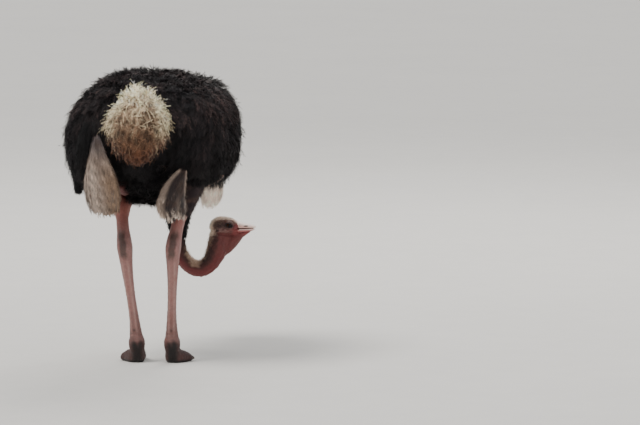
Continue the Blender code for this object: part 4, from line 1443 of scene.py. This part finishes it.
def makeDown(look):
    dice = np.random.default_rng(37)

    def headShare(places):
        ahead, aside, height = headMeasures(places)
        return (ahead > -0.09) & (height > 0.505) & (places[:, 1] > 0.5)

    def weight(places, faces):
        share, far, nape = neckMeasures(places)
        ahead, aside, height = headMeasures(places)
        onHead = headShare(places)
        onNeck = (places[:, 1] > 0.5) & (places[:, 2] < 0.66) & (far < 0.08) & (share > 0.40) & ~onHead
        fuzz = ramp(share, 0.40, 0.45) * ramp(share, 0.62, 0.50)
        neck = np.where(onNeck, 1.0 * ramp(nape, -0.10, 0.5) + 0.9 * creaminess(places) + 1.1 * fuzz, 0)
        edge = edgeAt(height)
        crown = ramp(height, 0.546, 0.562) * ramp(edge - ahead, 0.006, 0.016) + ramp(ahead, -0.022, -0.040)
        crown = crown * (0.45 + 0.55 * ramp(np.abs(aside), 0.026, 0.020))
        cheek = 0.16 * ramp(height, 0.512, 0.522) * ramp(ahead, 0.010, -0.010)
        head = np.clip(crown, 0, 1) * 1.5 + cheek
        return neck + np.where(onHead, head * ramp(fromEyes(places), 0.0240, 0.0285), 0)

    roots = skinGuide.scatter(look["tufts"], dice, weight)
    place, face = skinGuide.nearest(roots)
    share, far, nape = neckMeasures(place)
    onHead = headShare(place)
    creamy = creaminess(place)
    line = unit(np.gradient(neckLine, axis=0))
    towardBody = -spline(line, np.clip(share, 0, 1))
    lead = np.where(onHead[:, None], -headAhead * 0.8 - up * 0.1, towardBody)
    lead = unit(lead - face * np.sum(lead * face, axis=1, keepdims=True))
    stand = np.where(onHead, 0.9, 0.35 + 0.9 * creamy)
    aim = unit(lead + face * stand[:, None] + dice.normal(0, 0.30, face.shape))
    ahead, aside, height = headMeasures(place)
    cheek = onHead * ramp(height, 0.548, 0.536) * ramp(ahead, -0.045, -0.025)
    length = np.where(onHead, 0.0060 - 0.0034 * cheek, 0.0055 + 0.0050 * creamy)
    length = length * dice.uniform(0.6, 1.25, len(roots))
    width = look["barb"] * (1 - 0.5 * cheek)
    steps = np.linspace(0, 1, 4)[None, :, None]
    bend = unit(aim + lead * 0.7)
    paths = place[:, None] - face[:, None] * 0.0006 + aim[:, None] * length[:, None, None] * steps
    paths = paths + bend[:, None] * length[:, None, None] * 0.5 * steps ** 2
    ups = np.repeat(face[:, None], 4, axis=1)

    def colourOf(points, rootPoints, shares, across, luck):
        ahead, aside, height = headMeasures(rootPoints)
        head = headShare(rootPoints)
        base = mixed(downColours["dark"] + 0 * points, downColours["grey"], 0.7 * luck)
        rim = ramp(np.abs(aside), 0.030, 0.022)
        cheek = 0.35 * ramp(height, 0.545, 0.530) * ramp(ahead, -0.055, -0.035)
        pale = np.where(head, (0.12 + 0.88 * np.maximum(rim, cheek)), creaminess(rootPoints))
        tip = np.where(head[:, None], downColours["pale"], downColours["cream"])
        ends = np.where(head, 0.3 + 0.7 * ramp(shares + across * 0.4, 0.0, 0.9), 0.55 + 0.45 * shares)
        colour = mixed(base, tip, np.clip(pale * ends, 0, 1)) * (0.75 + 0.4 * luck)[:, None]
        coat = ramp(neckMeasures(rootPoints)[0] + (luck - 0.5) * 0.06, 0.52, 0.44) * ~head
        return mixed(colour, blackColours["tip"], coat)

    feather = dict(look, vane=length * 0.42, barb=width)
    coatPiece("neck_down", paths, ups, feather, colourOf, "Neck down", dice)


makeDown(downLook)


# Bill, eyes and claws

billColours = {"upper": linear(224, 176, 162), "ridge": linear(255, 228, 214), "lower": linear(174, 108, 105),
               "stripe": linear(255, 228, 216), "tip": linear(238, 216, 200), "nostril": linear(20, 12, 12),
               "mouth": linear(84, 38, 38)}


def tubeForm(middles, sides, widths, heights, around=28):
    # a closed form with an oval section at each middle
    angles = np.linspace(0, 2 * math.pi, around, endpoint=False)
    rings = (middles[:, None] + sides[:, None] * (widths[:, None] * np.cos(angles))[..., None]
             + up * (heights[:, None] * np.sin(angles))[..., None])
    index = np.arange(len(middles) * around).reshape(len(middles), around)
    after = np.roll(index, -1, axis=1)
    quads = np.stack([index[:-1], index[1:], after[1:], after[:-1]], axis=-1).reshape(-1, 4)
    fans = []
    for ring, turn in ((index[0], -1), (index[-1], 1)):
        fans.append(np.stack([np.full(around - 2, ring[0]), ring[1:-1], ring[2:]][::turn], axis=1))
    triangles = np.concatenate([quads[:, [0, 2, 1]], quads[:, [0, 3, 2]], *fans])
    return rings.reshape(-1, 3), triangles


# How the root of each sheath goes on under the skin: ahead, height of its middle, half-width and half-height
hornRoots = {"bill_upper": ((0.030, 0.5593, 0.0335, 0.0187), (0.066, 0.5550, 0.0308, 0.0145),
                            (0.086, 0.5534, 0.0282, 0.0120)),
             "bill_lower": ((0.030, 0.5260, 0.0315, 0.0120), (0.066, 0.5287, 0.0288, 0.0101),
                            (0.086, 0.5300, 0.0262, 0.0091))}


def rootForm(stations):
    columns = list(zip(*stations))
    along = np.linspace(columns[0][0], columns[0][-1], 15)
    high, wide, tall = (np.interp(along, columns[0], column) for column in columns[1:])
    middles = headOrigin + along[:, None] * headAhead + high[:, None] * up
    return tubeForm(middles, headSide + 0 * middles, wide, tall, 48)


def makeBill():
    for name in ("bill_upper", "bill_lower"):
        points, triangles = remeshed(joined([nodeForm(name, 0.0002), rootForm(hornRoots[name])]), 0.0010)
        points = evened(points, triangles, 4)
        ahead, aside, height = headMeasures(points)
        # the sheath's root meets the skin flush, then goes under it
        edge = edgeAt(height)
        flank = np.abs(aside)
        outer = ramp(flank, 0.006, 0.010) if name == "bill_lower" else ramp(height, 0.5440, 0.5475)
        root = (ahead < edge + 0.016) & (outer > 0)
        found, faces = headGuide.nearest(points[root])
        meet = ramp(ahead - edge, 0.014, 0.0)[root] * outer[root]
        sink = 0.0002 - 0.0045 * ramp(edge - ahead, 0.0, 0.004)[root]
        points[root] = mixed(points[root], found + faces * sink[:, None], meet)
        points = evened(points, triangles, 3, ramp(ahead - edge, 0.016, 0.006) * outer)
        if name == "bill_upper":
            # the cutting edge comes down to the lower sheath
            points[:, 2] -= 0.0014 * ramp(height, 0.5440, 0.5420) * ramp(ahead, 0.045, 0.10)
            # painted highlight: the upper sheath is paler along its top
            top = np.interp(ahead, (0.03, 0.066, 0.104, 0.148), (0.578, 0.5695, 0.5615, 0.551))
            ridge = ramp(height - top, -0.016, -0.007)
            colour = mixed(billColours["upper"] + 0 * points, billColours["ridge"], 0.95 * ridge)
            # painted shade: the nostril is a dark slit painted on the horn, with no opening cut
            slit = np.hypot((ahead - 0.100) / 0.0110, (height - 0.5515) / 0.0030)
            colour = mixed(colour, billColours["nostril"], ramp(slit, 1.15, 0.75) * (flank > 0.01))
            colour = mixed(colour, billColours["ridge"], 0.75 * ramp(height, 0.5462, 0.5440))
            colour = mixed(colour, billColours["mouth"], 0.9 * ramp(height, 0.5425, 0.5412))
        else:
            points[:, 2] += 0.0006 * ramp(height, 0.5370, 0.5390)
            colour = billColours["lower"] + 0 * points
            rise = height - np.interp(ahead, (0.030, 0.066, 0.104, 0.143), (0.5375, 0.5388, 0.5393, 0.5386))
            stripe = ramp(rise, -0.0075, -0.0045) * ramp(rise, 0.0006, -0.0012)
            colour = mixed(colour, billColours["stripe"], 0.9 * stripe)
            inner = ramp(rise, -0.0006, 0.0006) * ramp(flank, 0.03, 0.0)
            colour = mixed(colour, billColours["mouth"], 0.8 * inner)
        colour = mixed(colour, billColours["tip"], 0.7 * ramp(ahead, 0.122, 0.142))
        piece = makePiece(name + "_sheath", (points, triangles), materials["Bill horn"], colour)
        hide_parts(name)


def makeMouth():
    # the dark lining between the sheaths, a little inside their edges, with the tongue's low mound
    ahead = np.linspace(0.036, 0.137, 22)
    widths = np.interp(ahead, (0.03, 0.066, 0.104, 0.140), (0.0300, 0.0275, 0.0225, 0.0130))
    heights = np.interp(ahead, (0.03, 0.10, 0.140), (0.0042, 0.0034, 0.0018))
    middles = np.array([headPoint(a, 0, 0.5408 + 0.0006 * math.sin(a * 60)) for a in ahead])
    points, triangles = tubeForm(middles, np.repeat(headSide[None], len(ahead), axis=0), widths, heights)
    spots = 0.3 * (waves(points, 0.01, 81) > 0.2)
    colour = mixed(billColours["mouth"] + 0 * points, skinColours["mouth"], spots)
    piece = makePiece("mouth_lining", (points, triangles), materials["Ostrich skin"], colour)


eyeLook = {"pupil": 0.0078, "iris": 0.0152, "dark": linear(6, 4, 4), "brown": linear(44, 24, 14),
           "gold": linear(66, 38, 20), "white": linear(30, 20, 18)}
lashLook = {"count": 30, "long": 0.0105, "wide": 0.0007, "colour": linear(14, 10, 9)}


def makeEyes(look):
    for name, sign in (("eye_left", 1), ("eye_right", -1)):
        middle = middleOf(name)
        radius = (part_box(name)[1][2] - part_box(name)[0][2]) / 2
        rows, columns = 60, 72
        polar = np.linspace(0, math.pi, rows + 1)[:, None] * np.ones((1, columns))
        around = np.linspace(0, 2 * math.pi, columns, endpoint=False)[None] * np.ones((rows + 1, 1))
        axis = unit(headSide * sign + headAhead * 0.18 - up * 0.05)
        first = unit(np.cross(axis, up))
        second = np.cross(axis, first)
        bulge = 1 + 0.045 * np.exp(-(polar / 0.48) ** 4)
        ring = first * np.cos(around)[..., None] + second * np.sin(around)[..., None]
        points = middle + radius * 0.985 * bulge[..., None] * (
            axis * np.cos(polar)[..., None] + ring * np.sin(polar)[..., None])
        index = np.arange((rows + 1) * columns).reshape(rows + 1, columns)
        after = np.roll(index, -1, axis=1)
        quads = np.stack([index[:-1], index[1:], after[1:], after[:-1]], axis=-1).reshape(-1, 4)
        triangles = np.concatenate([quads[:, [0, 1, 2]], quads[:, [0, 2, 3]]])
        points = points.reshape(-1, 3)
        far = (radius * np.sin(polar)).ravel()
        behind = (polar > math.pi / 2).ravel()
        spokes = 0.5 + 0.5 * np.sin(around.ravel() * 41) * np.sin(around.ravel() * 17 + 1)
        iris = mixed(look["brown"] + 0 * points, look["gold"], 0.7 * spokes)
        colour = mixed(iris, look["dark"], ramp(far, look["pupil"] + 0.0003, look["pupil"] - 0.0003))
        colour = mixed(colour, look["dark"], ramp(far, look["iris"] - 0.0014, look["iris"]) * 0.9)
        colour = mixed(colour, look["white"], ramp(far, look["iris"], look["iris"] + 0.0008))
        colour = np.where(behind[:, None], look["white"], colour)
        piece = makePiece(name + "_ball", (points, triangles), materials["Eye"], colour)
        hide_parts(name)


def makeLashes(look):
    # stiff black bristles along the upper lid, longest at the middle
    dice = np.random.default_rng(53)
    paths, faces = [], []
    for name, sign in (("eye_left", 1), ("eye_right", -1)):
        middle = middleOf(name)
        for step in np.linspace(-0.95, 0.95, look["count"]):
            turn = step + dice.normal(0, 0.03)
            along = math.sin(turn * 1.35) * lidLook["long"] / lidLook["radius"] * 1.04
            high = math.cos(turn * 1.35) * lidLook["above"] / lidLook["radius"] * 1.12 - along * 0.16
            out = headAhead * along + up * high
            out = out + headSide * sign * math.sqrt(max(1 - out @ out, 0.0))
            root = middle + out * (lidLook["radius"] + 0.0012)
            aim = unit(out + up * 0.25 + headAhead * (along * 0.7) + dice.normal(0, 0.06, 3))
            reach = look["long"] * (0.62 + 0.38 * math.cos(turn * 1.5)) * dice.uniform(0.8, 1.1)
            sweep = np.linspace(0, 1, 4)[:, None]
            paths.append(root + aim * reach * sweep + up * reach * (0.30 * sweep ** 2 - 0.10 * sweep))
            faces.append(unit(np.cross(aim, headAhead) * sign))
    paths, faces = np.array(paths), np.array(faces)
    side = unit(np.cross(paths[:, 3] - paths[:, 0], faces))
    widths = look["wide"] * np.array((0.5, 0.42, 0.28))[None, :, None]
    left, right = paths[:, :3] - side[:, None] * widths, paths[:, :3] + side[:, None] * widths
    points = np.concatenate([left, right, paths[:, 3:]], axis=1)
    shape = np.array(((0, 3, 1), (3, 4, 1), (1, 4, 2), (4, 5, 2), (2, 5, 6)))
    triangles = (shape[None] + np.arange(len(paths))[:, None, None] * 7).reshape(-1, 3)
    corners = np.array(((0, 0), (0, 0.4), (0, 0.8), (1, 0), (1, 0.4), (1, 0.8), (0.5, 1)))
    patches = np.repeat(chartUv(paths[:, 0]), 7, axis=0) + np.tile(corners * patchSize, (len(paths), 1))
    points = points.reshape(-1, 3)
    colour = look["colour"] + 0 * points
    piece = makePiece("lashes", (points, triangles), materials["Black plumage"], colour, patches)


clawColours = {"root": linear(62, 50, 44), "tip": linear(134, 116, 100)}


def makeClaws():
    for side in ("left", "right"):
        for toe in ("inner", "outer"):
            name = f"claw_{toe}_{side}"
            points, triangles = softForm([name], 0.0002, 0.0013, 3)
            low, high = (np.array(corner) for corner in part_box(name))
            tip = ramp(points[:, 1], low[1], high[1])
            colour = mixed(clawColours["root"] + 0 * points, clawColours["tip"], tip)
            piece = makePiece(name + "_nail", (points, triangles), materials["Claw horn"], colour)
            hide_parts(name)


makeBill()
makeMouth()
makeEyes(eyeLook)
makeLashes(lashLook)
makeClaws()
print("bill, eyes and claws made")

bpy.context.view_layer.update()
